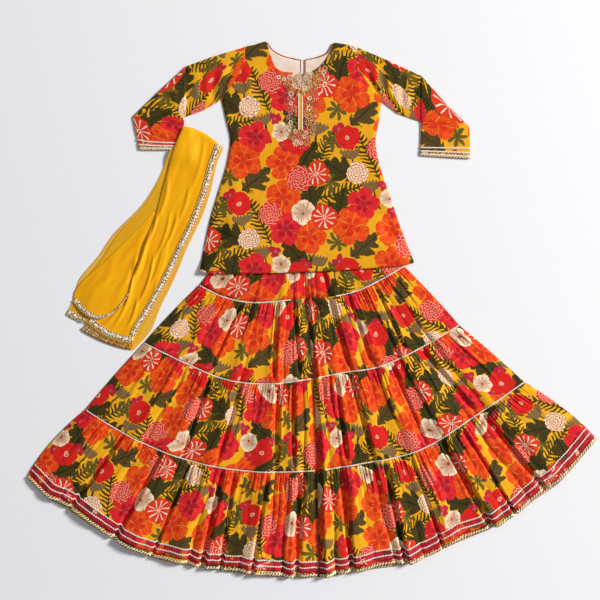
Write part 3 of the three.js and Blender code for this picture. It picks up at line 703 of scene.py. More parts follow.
SIDE_TOP = 2.3  # the top of the cloth at a leg's two sides, in millimetres
LOWEST = 2.2  # no valley goes deeper, or it would meet the back
WANDER = 0.005  # how far a fold strays to each side, as a share of the leg's width


def divide(edges, parts, rng):
    """Cuts every fold into the given number of parts of uneven widths."""
    cuts = np.cumsum(rng.uniform(0.55, 1.5, (len(edges) - 1, parts)), axis=1)
    cuts /= cuts[:, -1:]
    return np.concatenate([[0.0], (edges[:-1, None] + cuts * np.diff(edges)[:, None]).ravel()])


def ridges(edges, heights, reaches, u, t):
    """The absolute sine of pi times the place among the folds, to a power under one, which rounds the crests
    and sharpens the valleys, times that fold's height, and gone where it reaches down the tier."""
    place = np.interp(u, edges, np.arange(len(edges)))
    which = np.clip(place.astype(int), 0, len(heights) - 1)
    wave = heights[which] * np.abs(np.sin(np.pi * place)) ** 0.8
    return wave * (1 - ease(t, 0.35 * reaches[which], reaches[which]))


# How deep each broad valley is at the waist and at the foot of every tier: many are shallow and a few deep.
rng = np.random.default_rng(7)
VALLEYS = {(leg, row): rng.uniform(0.05, 1.1, len(BROAD[leg])) ** 1.7 for leg in SEAMS for row in range(5)}
FOLD_SETS = {}
for number, (leg, tier) in enumerate((leg, tier) for leg in SEAMS for tier in range(4)):
    rng = np.random.default_rng(40 + number)
    middle = divide(np.array(BROAD[leg]), 2 if tier < 2 else 3, rng)
    small = divide(middle, 2, rng)
    FOLD_SETS[leg, tier] = (
        (middle, 1.15 * rng.uniform(0.1, 1, len(middle) - 1) ** 2.2, rng.uniform(0.25, 1.3, len(middle) - 1)),
        (small, rng.uniform(0.3, 1, len(small) - 1), rng.uniform(0.1, 0.36, len(small) - 1)),
    )
    print(leg, TIERS[tier], "gathers", len(small) - 1)


def tier_height(leg, tier, u, t):
    """How high the top of the cloth lies: the flat height, rounded off at both sides, plus the broad ridges
    that all tiers share, plus the tier's own, less the deep folds."""
    width = LENGTH[leg][tier + 1]
    wander = WANDER * np.sin(2 * np.pi * (1.1 * t + 2.6 * u + 0.37 * tier)) * ease(t, 0, 0.3) * ease(1 - t, 0, 0.3)
    across = np.clip(u + wander * ease(u, 0, 0.08) * ease(1 - u, 0, 0.08), 0, 1)
    edge = nearer_end(u) * width
    body = SIDE_TOP + 2.5 * round_off(edge, 11)
    fade = ease(edge, 3, 26)
    place = np.interp(across, BROAD[leg], np.arange(len(BROAD[leg])))
    high = through(np.arange(len(BROAD_HEIGHT[leg])) + 0.5, BROAD_HEIGHT[leg], place)
    nearest_valley = np.rint(place).astype(int)
    deep = blend(VALLEYS[leg, tier][nearest_valley], VALLEYS[leg, tier + 1][nearest_valley], t)
    broad = high * (1 - deep * (1 - np.abs(np.sin(np.pi * place)) ** 0.62))
    broad = blend(BROAD_DEPTH[tier], BROAD_DEPTH[tier + 1], t) * broad
    middle, small = FOLD_SETS[leg, tier]
    is_hem = tier == 3
    away = 1 if is_hem else 1 - 0.85 * ease(t, 0.5, 1)
    mid = MIDDLE_DEPTH[tier] * ease(t, -0.02, 0.16) * away * ridges(*middle, across, t)
    fine = SMALL_DEPTH[tier] * ease(t, -0.03, 0.05) * ridges(*small, across, t)
    height = body + fade * (broad + mid + fine)
    for at_top, at_foot, size, depth in DEEP.get((leg, tier), []):
        away_mm = (u - blend(at_top, at_foot, t)) * (blend(0.75, 1, t) * width)
        share = ease(t, 0, 0.1) * (1 if is_hem else 1 - ease(t, 0.8, 1))
        dip = 2.9 * bell(away_mm, size) * np.clip(height - 2.6, 0, 3) / 3
        crest = 0.35 * bell(away_mm - 2.1 * size, 1.2 * size)
        height = height - depth * share * (dip - fade * crest)
    # Where the legs meet, the right one's edge rolls up and the left one's dips.
    if leg == "right":
        roll = 3.4 * bell(u * width - 17, 13) * ease(u * width, 0, 9)
        height = height + roll * (0.25 if tier == 0 else 1)
    else:
        height = height - 1.6 * bell((1 - u) * width - 6, 12) * ease((1 - u) * width, 0, 6)
    return np.maximum(height, LOWEST)


# How far the front hem stops above the back's, along it.
HEM_UP = [2.0, 2.5, 9.0, 10.5, 3.0, 2.0, 3.0, 10.0, 3.0, 2.5, 9.0, 6.0, 2.5, 2.5]


def tier_surface(leg, tier, u, t):
    """The top of the front cloth. The lowest tier's foot stops short of the back's by an uneven amount, and
    dips where a fold stands."""
    u, t = np.broadcast_arrays(u, t)
    flat = tier_plan(leg, tier, u, t)
    height = tier_height(leg, tier, u, t)
    if tier == 3:
        short = through(np.linspace(0, 1, len(HEM_UP)), HEM_UP if leg == "left" else HEM_UP[::-1], u)
        wave = 0.55 * (height - 9)
        share = ease(t, 0.6, 1) * ease(nearer_end(u), 0, 0.03)
        flat[..., 1] += share * (short - wave)
    return at_height(flat, height)


def cloth_map(points, width, place, hidden=1.8):
    """Where each point was on the flat strip: along it by its run, with slopes counted extra for the cloth
    that folds hide, scaled to the strip's length; and down it by its run down the column."""
    step = np.diff(points, axis=1)
    run = np.cumsum(np.sqrt(step[..., 0] ** 2 + step[..., 1] ** 2 + (hidden * step[..., 2]) ** 2), axis=1)
    run = np.concatenate([np.zeros((len(points), 1)), run], axis=1)
    down = np.cumsum(np.linalg.norm(np.diff(points[..., :2], axis=0), axis=-1), axis=0)
    down = np.concatenate([np.zeros((1, points.shape[1])), down], axis=0)
    return np.stack([run * width / run[:, -1:] + place[0], place[1] - down], -1)


# %% [markdown]
# The front of each tier is a fine grid, since its folds are narrow. The back lies flat on the floor and is
# seen only where the front stops short, so a coarse grid is enough for it.

# %% The eight fronts and the eight backs
GRID = [(14, 130), (34, 256), (40, 316), (50, 400)]
PRINT_PLACE = {
    "left": [(40, 10), (190, 130), (75, 290), (10, 225)],
    "right": [(10, 200), (110, 20), (260, 100), (95, 345)],
}
for leg in SEAMS:
    for tier, name in enumerate(TIERS):
        rows, columns = GRID[tier]
        u, t = np.meshgrid(np.linspace(0, 1, columns + 1), np.linspace(0, 1, rows + 1) ** 1.15)
        points = tier_surface(leg, tier, u, t)
        width = FULLNESS[tier] * LENGTH[leg][tier + 1]
        flat = cloth_map(points, width, PRINT_PLACE[leg][tier])
        front = shell(f"{leg}_{name}_tier_front_cloth", points, 0.9, flat)
        keep(front, COTTON, "printed_cotton", f"{leg}_leg_{name}_tier_front")
        high = float(np.mean(flat[0, :, 1] - flat[-1, :, 1]))
        u, t = np.meshgrid(np.linspace(0, 1, 61), np.linspace(0, 1, 13))
        lying = at_height(tier_plan(leg, tier, u, t), 1.35)
        smooth = cloth_map(lying, LENGTH[leg][tier + 1], (300 + PRINT_PLACE[leg][tier][0], 90))
        back = shell(f"{leg}_{name}_tier_back_cloth", lying, 1.2, smooth)
        keep(back, COTTON, "printed_cotton", f"{leg}_leg_{name}_tier_back")
        print(leg, name, "strip", round(width), "by", round(high))

# %% [markdown]
# White braid covers the three seams of each leg. At the yoke it dives into the folds before it reaches the
# middle of the trousers. Below, the hem has a crimson band between two braids and a scalloped gold edge.
# These follow the cloth, so their lines come from the same surface function.

# %% Braids on the seams and at the hem
def worn_band():
    """The crimson tape of the hem: its dye is uneven, and it is thin enough for the print to show in places."""
    material, tree = begin("crimson hem tape")
    place = on_cloth(tree)
    dye = clouds(tree, place, 1 / 14, 2.0, 0.35, 0.65, **FLAT)
    colour = node(tree, "MixRGB", "MIX", dye, linear("#8E1119"), linear("#C9182A"))
    patch = clouds(tree, place, 1 / 38, 1.0, 0.57, 0.60, 0.8, **FLAT)
    colour = node(tree, "MixRGB", "MIX", patch, colour, printed(tree)[0])
    settle(tree, colour, dye, 0.2, 0.3, 0.6, specular=0.3)
    return material


HEM_BAND = worn_band()
# Where along its seam each braid starts and stops, since the folds in the middle hide the rest.
SEAM_SHARES = {
    "left": [(0.004, 0.86), (0.004, 0.985), (0.004, 0.985)],
    "right": [(0.28, 0.996), (0.03, 0.996), (0.03, 0.996)],
}


def hem_line(leg, away, u):
    """A line on the lowest tier, the given distance above its hem, found from the tier's height there."""
    foot = tier_surface(leg, 3, u, np.ones_like(u))
    top = tier_surface(leg, 3, u, np.full_like(u, 0.8))
    high = np.linalg.norm((foot - top)[:, :2], axis=1) / 0.2
    return tier_surface(leg, 3, u, 1 - away / high)


def calm(line, reach):
    """A line's heights, smoothed along it by a moving mean, but never under the cloth's own by more than a
    little: a stiff braid bridges the small valleys."""
    kernel = np.hanning(2 * reach + 3)[1:-1]
    kernel /= kernel.sum()
    high = np.convolve(np.pad(line[:, 2], reach, mode="edge"), kernel, mode="valid")
    out = line.copy()
    out[:, 2] = np.maximum(high, line[:, 2] - 0.1)
    return out


for leg in SEAMS:
    for tier in (1, 2, 3):
        start, stop = SEAM_SHARES[leg][tier - 1]
        u = np.linspace(start, stop, int(LENGTH[leg][tier] * (stop - start) / 1.9))
        line = calm(tier_surface(leg, tier, u, np.zeros_like(u)), 6)
        line[:, 1] += 0.9 * np.sin(2 * np.pi * np.arange(len(u)) * 1.9 / 7.5)
        braid = strip(f"{leg}_{TIERS[tier]}_seam_braid", line, 3.4, 0.8, 0.3, 7.5)
        keep(braid, SILVER, "silver_lace", f"{leg}_leg_{TIERS[tier]}_seam_lace")
    u = np.linspace(0.003, 0.997, int(LENGTH[leg][4] / 2.0))
    rows = np.stack([hem_line(leg, away, u) for away in (47, 40, 33, 26, 20, 14)])
    rows[..., 2] += 0.75
    run = lengths(rows[0, :, :2])
    flat = spread(run, -np.array([0, 7, 14, 21, 27, 33.0])[:, None])
    band = shell(f"{leg}_hem_band_cloth", rows, 0.5, flat)
    keep(band, HEM_BAND, "crimson_band", f"{leg}_leg_hem_band")
    for number, away in enumerate((46.5, 28.5)):
        line = hem_line(leg, away, u)
        line[:, 2] += 0.8
        line[:, 1] += 0.8 * np.sin(2 * np.pi * run / 6.5)
        keep(strip(f"{leg}_hem_braid_{number + 1}", line, 5.0, 0.7, 0.8, 8.5), SILVER, "silver_lace")
    line = hem_line(leg, 5.5, u)
    line[:, 2] += 0.3
    edging = strip(f"{leg}_hem_gold_edging", line, 11, 1.0, 0.5, 9.0, 4)
    keep(edging, GOLD, "gold_lace", f"{leg}_leg_hem_edging")
    lying = at_height(tier_plan(leg, 3, u, 1 - 4.0 / 300 + 0 * u), 1.4)
    keep(strip(f"{leg}_back_hem_edging", lying, 9, 0.6, 0.5, 9.0, 4), GOLD, "gold_lace")
print("hem lines", len(u))

# %% [markdown]
# ## The tunic
# The tunic is cut flat: a front and a back with curved sides, joined at the sides and shoulders. Its outline
# is a table of sections from shoulder to hem, each with its two ends, and the neckline is a curve that the
# upper rows follow and the lower ones follow less and less. It lies on the trousers from its waist down.

# %% The tunic's outline and its height
NECK_LEFT, NECK_WIDE, SHOULDER = -206, 347, 803  # the left shoulder tip, the width between the tips, their y
SLIT = -26  # the back slit's and the front notch's place across
PLACKET = -34.0  # the placket's
# Share down, left end, right end, and the neckline's share.
BODY = [
    (0.0, -206, 803, 141, 803, 1),
    (0.075, -206, 750, 141, 736, 0.72),
    (0.225, -275, 644, 213, 641, 0.3),
    (0.315, -261, 581, 206, 581, 0.15),
    (0.405, -248, 517, 195, 517, 0.05),
    (0.495, -257, 455, 204, 455, 0),
    (0.64, -286, 356, 237, 356, 0),
    (0.72, -303, 300, 255, 300, 0),
    (0.80, -317, 245, 274, 245, 0),
    (1.0, -342, 119, 313, 147, 0),
]
FRONT_NECK = [
    (0, 0), (0.1, 7), (0.193, 16), (0.212, -2), (0.228, -20), (0.25, -43), (0.285, -65), (0.35, -76), (0.43, -78),
    (0.51, -78), (0.59, -75), (0.65, -64), (0.7, -47), (0.745, -24), (0.772, -4), (0.79, 12), (0.9, 7), (1, 0),
]  # fmt: skip
BACK_NECK = [
    (0, 0), (0.1, 7), (0.193, 16), (0.25, -8), (0.33, -25), (0.42, -34), (0.5, -39), (0.58, -36), (0.66, -29),
    (0.73, -17), (0.79, 12), (0.9, 7), (1, 0),
]  # fmt: skip


def side_ends(s):
    """The two ends of the section a share s down the tunic, on smooth lines through the table, except at the
    underarm, where the outline has its corner."""
    table = np.array(BODY)
    ends = []
    for column in (1, 2, 3, 4, 5):
        upper = np.interp(s, table[:3, 0], table[:3, column])
        lower = through(table[2:, 0], table[2:, column], np.maximum(s, table[2, 0]))
        ends.append(np.where(s < table[2, 0], upper, lower))
    return ends


def tunic_plan(neck, s, across, notch=0.0):
    """A point of a panel from above: between the section's ends, raised or lowered by the neckline's share,
    and bowed at the hem."""
    left_x, left_y, right_x, right_y, share = side_ends(s)
    x = blend(left_x, right_x, across)
    rise = through(*np.array(neck, float).T, across)
    if notch:
        rise = rise - notch * np.clip(1 - np.abs(x - SLIT) / 5, 0, 1)
    bow = 17 * ease(s, 0.6, 1.05) ** 1.3 * (4 * across * (1 - across)) ** 0.45
    return x, blend(left_y, right_y, across) + rise * share - bow


def lift(x, y):
    """How far the trousers hold the tunic up: 10.9 mm over them, and nothing above the waist or beside them."""
    below = np.maximum(0, 227 - y)
    out = np.maximum(-224 - 0.79 * below - x, x - 184 - 0.97 * np.maximum(0, 236 - y))
    return 10.9 * (1 - ease(out, 12, 57)) * (1 - ease(y, 250, 300))


# Soft creases of the front: where each starts and ends, its half-width, and its height (a valley below 0).
TUNIC_CREASES = [
    ((-262, 636), (-150, 560), 16, 2.4), ((-255, 600), (-170, 575), 12, -1.6),
    ((206, 634), (110, 560), 17, 2.6), ((200, 604), (120, 590), 12, -1.8), ((-240, 520), (-120, 500), 14, -1.8),
    ((188, 520), (90, 492), 15, -1.9), ((-200, 490), (-70, 470), 22, 1.4), ((-206, 740), (-190, 640), 13, 2.2),
    ((141, 730), (120, 630), 13, 2.4), ((-235, 440), (-262, 230), 17, 1.7), ((-150, 330), (-165, 150), 20, 1.6),
    ((-40, 300), (-30, 140), 22, 1.3), ((95, 340), (120, 150), 21, 1.7), ((190, 430), (232, 240), 17, 1.8),
    ((-290, 260), (-230, 170), 14, -1.2), ((250, 260), (210, 190), 14, -1.2),
    ((-270, 640), (-225, 735), 9, -2.6), ((210, 636), (168, 735), 9, -3.0), ((-245, 560), (-215, 470), 12, 1.6),
    ((195, 560), (165, 470), 12, 1.6),
]  # fmt: skip


def creases(table, x, y):
    """The sum of soft ridges: each is a bell across its line, and fades in and out along it."""
    total = np.zeros_like(x)
    for (ax, ay), (bx, by), size, height in table:
        long = np.hypot(bx - ax, by - ay)
        along = ((x - ax) * (bx - ax) + (y - ay) * (by - ay)) / long**2
        out = ((x - ax) * (by - ay) - (y - ay) * (bx - ax)) / long
        out = out + 0.06 * long * np.sin(np.pi * np.clip(along, 0, 1))
        fade = ease(along, -0.12, 0.25) * (1 - ease(along, 0.55, 1.12))
        total += height * fade * bell(out, size)
    return total


def tunic_height(x, y, across, s):
    """The front's top: the lift, the layers under it, the roll down to the side seams, and the creases."""
    edge = nearer_end(across) * 500.0
    hem = 1.1 * ease(s, 0.98, 1.0) + 0.6 * bell(s - 0.975, 0.004)
    folds = ease(edge, 2, 30) * creases(TUNIC_CREASES, x, y)
    return lift(x, y) + 2.4 + 3.2 * round_off(edge, 15) + folds - hem


s, across = np.meshgrid(np.linspace(0, 1, 151), np.linspace(0, 1, 131), indexing="ij")
x, y = tunic_plan(FRONT_NECK, s, across, notch=34)
front_grid = np.stack([x, y, tunic_height(x, y, across, s)], -1)
tunic_front = shell("tunic_front_cloth", front_grid, 0.9, np.stack([x + 120, y - 30], -1))
keep(tunic_front, COTTON, "printed_cotton", "tunic_front")
print("tunic front", [round(float(v)) for v in (np.ptp(x), np.ptp(y))])

# %% [markdown]
# The back has a shallower neck, cream lining and a slit down its middle, open over the floor. Two grids, one
# each side of the slit, share the slit's line below its foot, which is simpler than cutting a hole.


# %% The back, the lining, the piping and the slit
def slit_half(y, grow=0.0):
    """Half the slit's width: nothing at its foot, widest a quarter of the way down, narrower at the neck."""
    return np.interp(y, [655 - grow, 700, 745, 775], [0, 5.2 + grow, 6.8 + grow, 6.0 + grow])


def back_half(side, rows, columns, top_share, foot, inset, grow):
    """One side of a panel under the neck: from the outer side to the slit, from the back neck to the foot."""
    s, a = np.meshgrid(np.linspace(0, 1, rows), np.linspace(0, 1, columns), indexing="ij")
    middle = (SLIT - NECK_LEFT) / NECK_WIDE
    low, high = (top_share, middle) if side == "left" else (middle, 1 - top_share)
    across = low + (high - low) * a
    x, y = tunic_plan(BACK_NECK, s * foot, across)
    y = y - inset * (1 - s)
    near = a if side == "left" else 1 - a
    sign = -1 if side == "left" else 1
    at_slit = SLIT + sign * slit_half(y, grow)
    x = blend(x, at_slit, near**6)
    return x, y, s, across


for side in ("left", "right"):
    x, y, s, across = back_half(side, 60, 40, 0.0, 1.0, 0.0, 0.0)
    points = np.stack([x, y, lift(x, y) + 1.5], -1)
    back = shell(f"tunic_back_{side}_cloth", points, 1.2, np.stack([x - 90, y], -1))
    keep(back, COTTON, "printed_cotton", *(["tunic_back"] if side == "left" else []))
    x, y, s, across = back_half(side, 30, 40, 0.2, 0.23, 2.5, 1.2)
    ripple = 0.5 + 0.5 * np.sin(x / 17 + y / 40)
    z = 2.6 + 0.7 * ripple * ease(s, 0, 0.3)
    lining = shell(f"tunic_neck_lining_{side}", np.stack([x, y, z], -1), 0.7, np.stack([x, y], -1))
    keep(lining, LINING, "cream_lining", *(["tunic_neck_lining"] if side == "left" else []))


def tube(name, line, radius, sides=8):
    """A round cord: a circle carried along a line, square to it, with its start and end drawn in to close."""
    along = np.gradient(line, axis=0)
    along /= np.linalg.norm(along, axis=1, keepdims=True)
    out = np.cross(along, (0.0, 0.0, 1.0))
    out /= np.maximum(np.linalg.norm(out, axis=1, keepdims=True), 1e-9)
    up = np.cross(out, along)
    turn = np.linspace(0, 2 * np.pi, sides, endpoint=False)
    size = np.full(len(line), radius)
    size[[0, -1]] = 0.02
    ring = np.cos(turn)[None, :, None] * out[:, None] + np.sin(turn)[None, :, None] * up[:, None]
    points = line[:, None] + size[:, None, None] * ring
    faces, index = grid_quads(len(line), sides, wrap=True)
    cloth = spread(lengths(line)[:, None], turn * radius)
    return put_mesh(name, points.reshape(-1, 3), faces, cloth.reshape(-1, 2))


for side in ("left", "right"):
    u = np.linspace(0.205, 0.505, 60) if side == "left" else np.linspace(0.785, 0.535, 60)
    x, y = tunic_plan(BACK_NECK, np.zeros_like(u), u)
    line = np.stack([x, y - 1.2, np.full_like(x, 2.7)], -1)
    down = np.linspace(float(line[-1, 1]), 660, 30)[1:]
    sign = -1 if side == "left" else 1
    slit = np.stack([SLIT + sign * (slit_half(down) + 0.6), down, np.full_like(down, 2.5)], -1)
    piping = tube(f"tunic_back_piping_cord_{side}", np.concatenate([line, slit]), 1.3)
    keep(piping, PIPING, "orange_piping", f"tunic_back_piping_{side}")
print("neck ready")

# %% [markdown]
# ## The sleeves
# A sleeve is a tube pressed flat. Its grid goes round the tube and along the arm: the upper side is a low
# arch, the underside lies on the floor, and the two turn into each other at rounded edges. Each sleeve is
# tucked at the elbow, which shows as one step across it.

# %% The two sleeves
CUFF_TISSUE = fleck_material("gold tissue", ["#E9A93A", "#B5652A", "#F3D38A", "#8C3A22"], 4.6, 0.25)
# Share along the arm, the end on the shoulder side, the end on the underarm side, the top's height.
SLEEVES = {
    "left": [
        (0.0, None, None, 4.9), (0.30, (-298, 775), (-331, 609), 5.2), (0.515, (-385, 743), (-383, 590), 5.0),
        (0.535, (-389, 737), (-387, 588), 7.6), (0.68, (-462, 670), (-388, 579), 7.2),
        (0.84, (-545, 590), (-389, 563), 6.6), (0.92, (-535, 540), (-391, 526), 6.2),
        (1.0, (-523, 488), (-392, 489), 5.6),
    ],
    "right": [
        (0.0, None, None, 4.9), (0.30, (232, 762), (263, 600), 5.2), (0.515, (332, 716), (331, 576), 5.0),
        (0.535, (337, 712), (335, 574), 7.6), (0.68, (408, 632), (334.5, 566), 7.2),
        (0.84, (480, 560), (334, 551), 6.6), (0.92, (483, 512), (332.5, 510), 6.2),
        (1.0, (483, 462), (331.5, 472), 5.6),
    ],
}  # fmt: skip
SLEEVE_CREASES = {
    "left": [
        ((-272, 648), (-226, 770), 7, -3.0), ((-285, 650), (-252, 765), 10, 3.2),
        ((-300, 640), (-286, 745), 7, -2.4), ((-318, 628), (-312, 745), 8, 2.4),
        ((-340, 618), (-348, 735), 10, 2.0), ((-375, 610), (-370, 720), 9, -2.0),
        ((-400, 600), (-425, 690), 10, 2.4), ((-395, 580), (-480, 640), 11, 2.2),
        ((-400, 560), (-500, 590), 10, -1.8), ((-470, 560), (-455, 500), 13, 1.6),
        ((-505, 575), (-500, 500), 10, 1.5),
    ],
    "right": [
        ((212, 646), (162, 760), 7, -3.2), ((222, 645), (184, 755), 10, 3.6), ((235, 640), (212, 750), 7, -2.8),
        ((246, 632), (238, 745), 8, 2.8), ((262, 622), (268, 735), 9, 2.4), ((278, 615), (290, 720), 7, -2.0),
        ((296, 608), (310, 715), 10, 2.2), ((320, 600), (326, 690), 8, -2.0), ((345, 590), (385, 660), 11, 2.4),
        ((340, 570), (425, 610), 11, 2.2), ((345, 550), (450, 560), 10, -1.8),
        ((400, 545), (388, 480), 12, 1.6), ((450, 560), (452, 490), 10, 1.4),
    ],
}  # fmt: skip


def sleeve_plan(side, s, t):
    """A point a share s along the arm and a share t from the shoulder side to the underarm side, from above.
    The first section is the tunic's own side, from its shoulder to its underarm."""
    table = SLEEVES[side]
    left_x, left_y, right_x, right_y, _ = side_ends(np.array([0, 0.0375, 0.075, 0.15, 0.225]))
    first = np.stack([left_x + 4, left_y] if side == "left" else [right_x - 4, right_y], -1)
    share = np.array([row[0] for row in table])
    at = []
    for axis in (0, 1):
        start = np.interp(t, np.linspace(0, 1, 5), first[:, axis])
        values = [start] + [blend(o[axis], i[axis], t) for _, o, i, _ in table[1:]]
        values = np.stack([np.broadcast_to(v, t.shape) for v in values])
        k = np.clip(np.searchsorted(share, s, side="right") - 1, 0, len(share) - 2)
        w = np.clip((s - share[k]) / (share[k + 1] - share[k]), 0, 1)
        low = np.take_along_axis(values, k[None], 0)[0]
        high = np.take_along_axis(values, k[None] + 1, 0)[0]
        at.append(blend(low, high, w))
    return np.stack(at, -1)


def sleeve_surface(side, s, turn):
    """A point of the tube: the turn's cosine gives the share across, and the sine, raised to a small power,
    a flattened arch above the middle or below it."""
    t = 0.5 - 0.5 * np.cos(turn)
    flat = sleeve_plan(side, s, t)
    top = through([row[0] for row in SLEEVES[side]], [row[3] for row in SLEEVES[side]], s)
    arch = np.abs(np.sin(turn)) ** 0.42
    above = np.sin(turn) >= 0
    fold = creases(SLEEVE_CREASES[side], flat[..., 0], flat[..., 1]) * ease(np.sin(turn), 0, 0.5)
    middle = 0.45 * top
    height = np.where(above, middle + (top - middle + fold) * arch, middle - (middle - 0.15) * arch)
    return at_height(flat, height)


def cuff_line(side, up, bow, raised):
    """A line round a cuff's upper side, so many millimetres above its foot, and bowed on the left sleeve. The
    last section is 52 mm long and a share of 0.08."""
    turn = np.linspace(0.03, np.pi - 0.03, 110)
    bow = bow if side == "left" else 0
    line = sleeve_surface(side, 1 - (up - bow * np.sin(turn)) / 52 * 0.08, turn)
    line[:, 2] += raised
    return line


for side in SLEEVES:
    share = np.unique(np.concatenate([np.linspace(0, 1, 81), np.linspace(0.512, 0.538, 7)]))
    s, turn = np.meshgrid(share, np.linspace(-np.pi / 2, 1.5 * np.pi, 91)[:-1], indexing="ij")
    if side == "right":
        s, turn = s[:, ::-1], turn[:, ::-1]
    ends = [sleeve_plan(side, share, np.full(len(share), float(t))) for t in (0, 0.5, 1)]
    width = np.linalg.norm(ends[2] - ends[0], axis=-1)[:, None]
    reach = lengths(ends[1])[:, None]
    t = 0.5 - 0.5 * np.cos(turn)
    around = np.where(turn < 0, -t, np.where(turn <= np.pi, t, 2 - t)) * width
    start = {"left": (150, 210), "right": (490, 335)}[side]
    cloth = np.stack([around + start[0], start[1] - reach + 0 * around], -1)
    sleeve = shell(f"{side}_sleeve_cloth", sleeve_surface(side, s, turn), 0.9, cloth, wrap=True)
    keep(sleeve, COTTON, "printed_cotton", f"{side}_sleeve")
    for line_name, up, bow in (("upper", 33, 6), ("middle", 19, 4), ("lower", 7, 1)):
        braid = strip(f"{side}_cuff_braid_{line_name}", cuff_line(side, up, bow, 0.25), 4.4, 0.7, 0.25, 6.0)
        keep(braid, SILVER, "silver_lace", f"{side}_cuff_lace_{line_name}")
    for line_name, up, bow, wide, metal in (("tissue", 13, 2.5, 8.5, CUFF_TISSUE), ("foot", 2.6, 0, 5.0, GOLD)):
        line = cuff_line(side, up, bow, 0.1)
        keep(strip(f"{side}_cuff_{line_name}", line, wide, 0.6, 0.12, 6.0), metal, "gold_lace")
print("sleeves ready")

# %% [markdown]
# ## The embroidery
# The neck is worked in gold, cream, pink and olive thread with sequins, in a shield round the placket. A satin
# stitch is a small lens of thread, and a flower is a ring of them. All stitches of one colour are one mesh,
# made by placing the same sixteen-faced lens many times at once.

# %% Stitches, flowers and sequins
def front_top(x, y):
    """The height of the tunic's front near its middle."""
    return 5.7 + creases(TUNIC_CREASES, x, y)


def stitches(name, x, y, turn, long, wide, high, material, slot):
    """A lens at each place: a rim of eight points on an ellipse, turned, and one point above and one below."""
    round_ = np.linspace(0, 2 * np.pi, 9)[:-1]
    lens = np.concatenate([np.stack([np.cos(round_), np.sin(round_), 0 * round_], -1), [[0, 0, 1], [0, 0, -0.3]]])
    turn, long, wide, high = (np.broadcast_to(v, x.shape)[:, None] for v in (turn, long, wide, high))
    a, b = lens[None, :, 0] * long / 2, lens[None, :, 1] * wide / 2
    c, s = np.cos(turn), np.sin(turn)
    px, py = x[:, None] + a * c - b * s, y[:, None] + a * s + b * c
    points = np.stack([px, py, front_top(px, py) + 0.35 + lens[None, :, 2] * high], -1)
    k = np.arange(8)
    cap = np.concatenate([np.stack([k, (k + 1) % 8, 0 * k + 8], -1), np.stack([(k + 1) % 8, k, 0 * k + 9], -1)])
    faces = (cap[None] + 10 * np.arange(len(x))[:, None, None]).reshape(-1, 3)
    flat = spread(a + 7 * np.arange(len(x))[:, None], b)
    return keep(put_mesh(name, points.reshape(-1, 3), faces, flat.reshape(-1, 2)), material, slot)


GOLD_THREAD = plain_cloth("gold thread", "#F6CB62", "#A8742A", 3, 0.4, 0.1, 0.25)
CREAM_THREAD = plain_cloth("cream silk thread", "#FFEACB", "#EBC49A", 3, 0.5, 0.2)
PINK_THREAD = plain_cloth("pink silk thread", "#F08A78", "#D9584E", 3, 0.5, 0.2)
OLIVE_THREAD = plain_cloth("olive silk thread", "#A89340", "#7A6A28", 3, 0.5, 0.2)
SEQUIN = fleck_material("silver sequins on the neck", ["#FFFFFF", "#F2DFB0"], 2.0, 0.6, 0.22)

MIDLINE = -31.0
rng = np.random.default_rng(17)


def shield_half(y):
    """Half the worked width at a height: the table runs from the neckline to the lowest spray."""
    return np.interp(y, [488, 505, 530, 560, 620, 680, 712, 735], [3, 22, 45, 49, 46, 52, 78, 88])


def neckline_at(x):
    """The front neckline's height over a place across."""
    across = (x - NECK_LEFT) / NECK_WIDE
    return SHOULDER + through(*np.array(FRONT_NECK, float).T, across)


ys = np.repeat(np.arange(497, 738, 15.0), 13)
half_step = np.where(np.round((ys - 497) / 15) % 2 == 0, 8.0, 0.0)
xs = MIDLINE + np.tile((np.arange(13) - 6) * 16.0, len(ys) // 13) + half_step
xs, ys = xs + rng.uniform(-3, 3, len(xs)), ys + rng.uniform(-3, 3, len(ys))
inside = (np.abs(xs - MIDLINE) < shield_half(ys) - 5) & (ys < neckline_at(xs) - 8)
placket = (np.abs(xs - PLACKET) < 15) & (ys > 545) & (ys < 668)
xs, ys = xs[inside & ~placket], ys[inside & ~placket]
print("flowers", len(xs))
kind = rng.choice(4, len(xs), p=[0.36, 0.3, 0.22, 0.12])
FLOWERS = [  # the thread, its slot, a flower's stitches and how wide they are
    ("gold", GOLD_THREAD, "gold_lace", 7, 3.6),
    ("cream", CREAM_THREAD, "cream_lining", 7, 3.6),
    ("pink", PINK_THREAD, "crimson_band", 7, 3.6),
    ("olive", OLIVE_THREAD, "gold_lace", 5, 2.6),
]
for number, (label, material, slot, count, wide) in enumerate(FLOWERS):
    fx, fy = xs[kind == number], ys[kind == number]
    size = rng.uniform(4.6, 7.2, (len(fx), 1))
    turn = rng.uniform(0, 6.3, (len(fx), 1)) + 2 * np.pi * np.arange(count)[None] / count
    px, py = fx[:, None] + size * np.cos(turn), fy[:, None] + size * np.sin(turn)
    long = (size * 1.35 + 0 * px).ravel()
    stitches(f"neck_flowers_{label}", px.ravel(), py.ravel(), turn.ravel(), long, wide, 0.9, material, slot)


def worked(x, y, clear):
    """Whether a place is in the shield, under the neckline, and so far clear of the placket."""
    on_placket = (np.abs(x - PLACKET) < clear) & (y > 545)
    return (np.abs(x - MIDLINE) < shield_half(y)) & (y < neckline_at(x) - 3) & ~on_placket


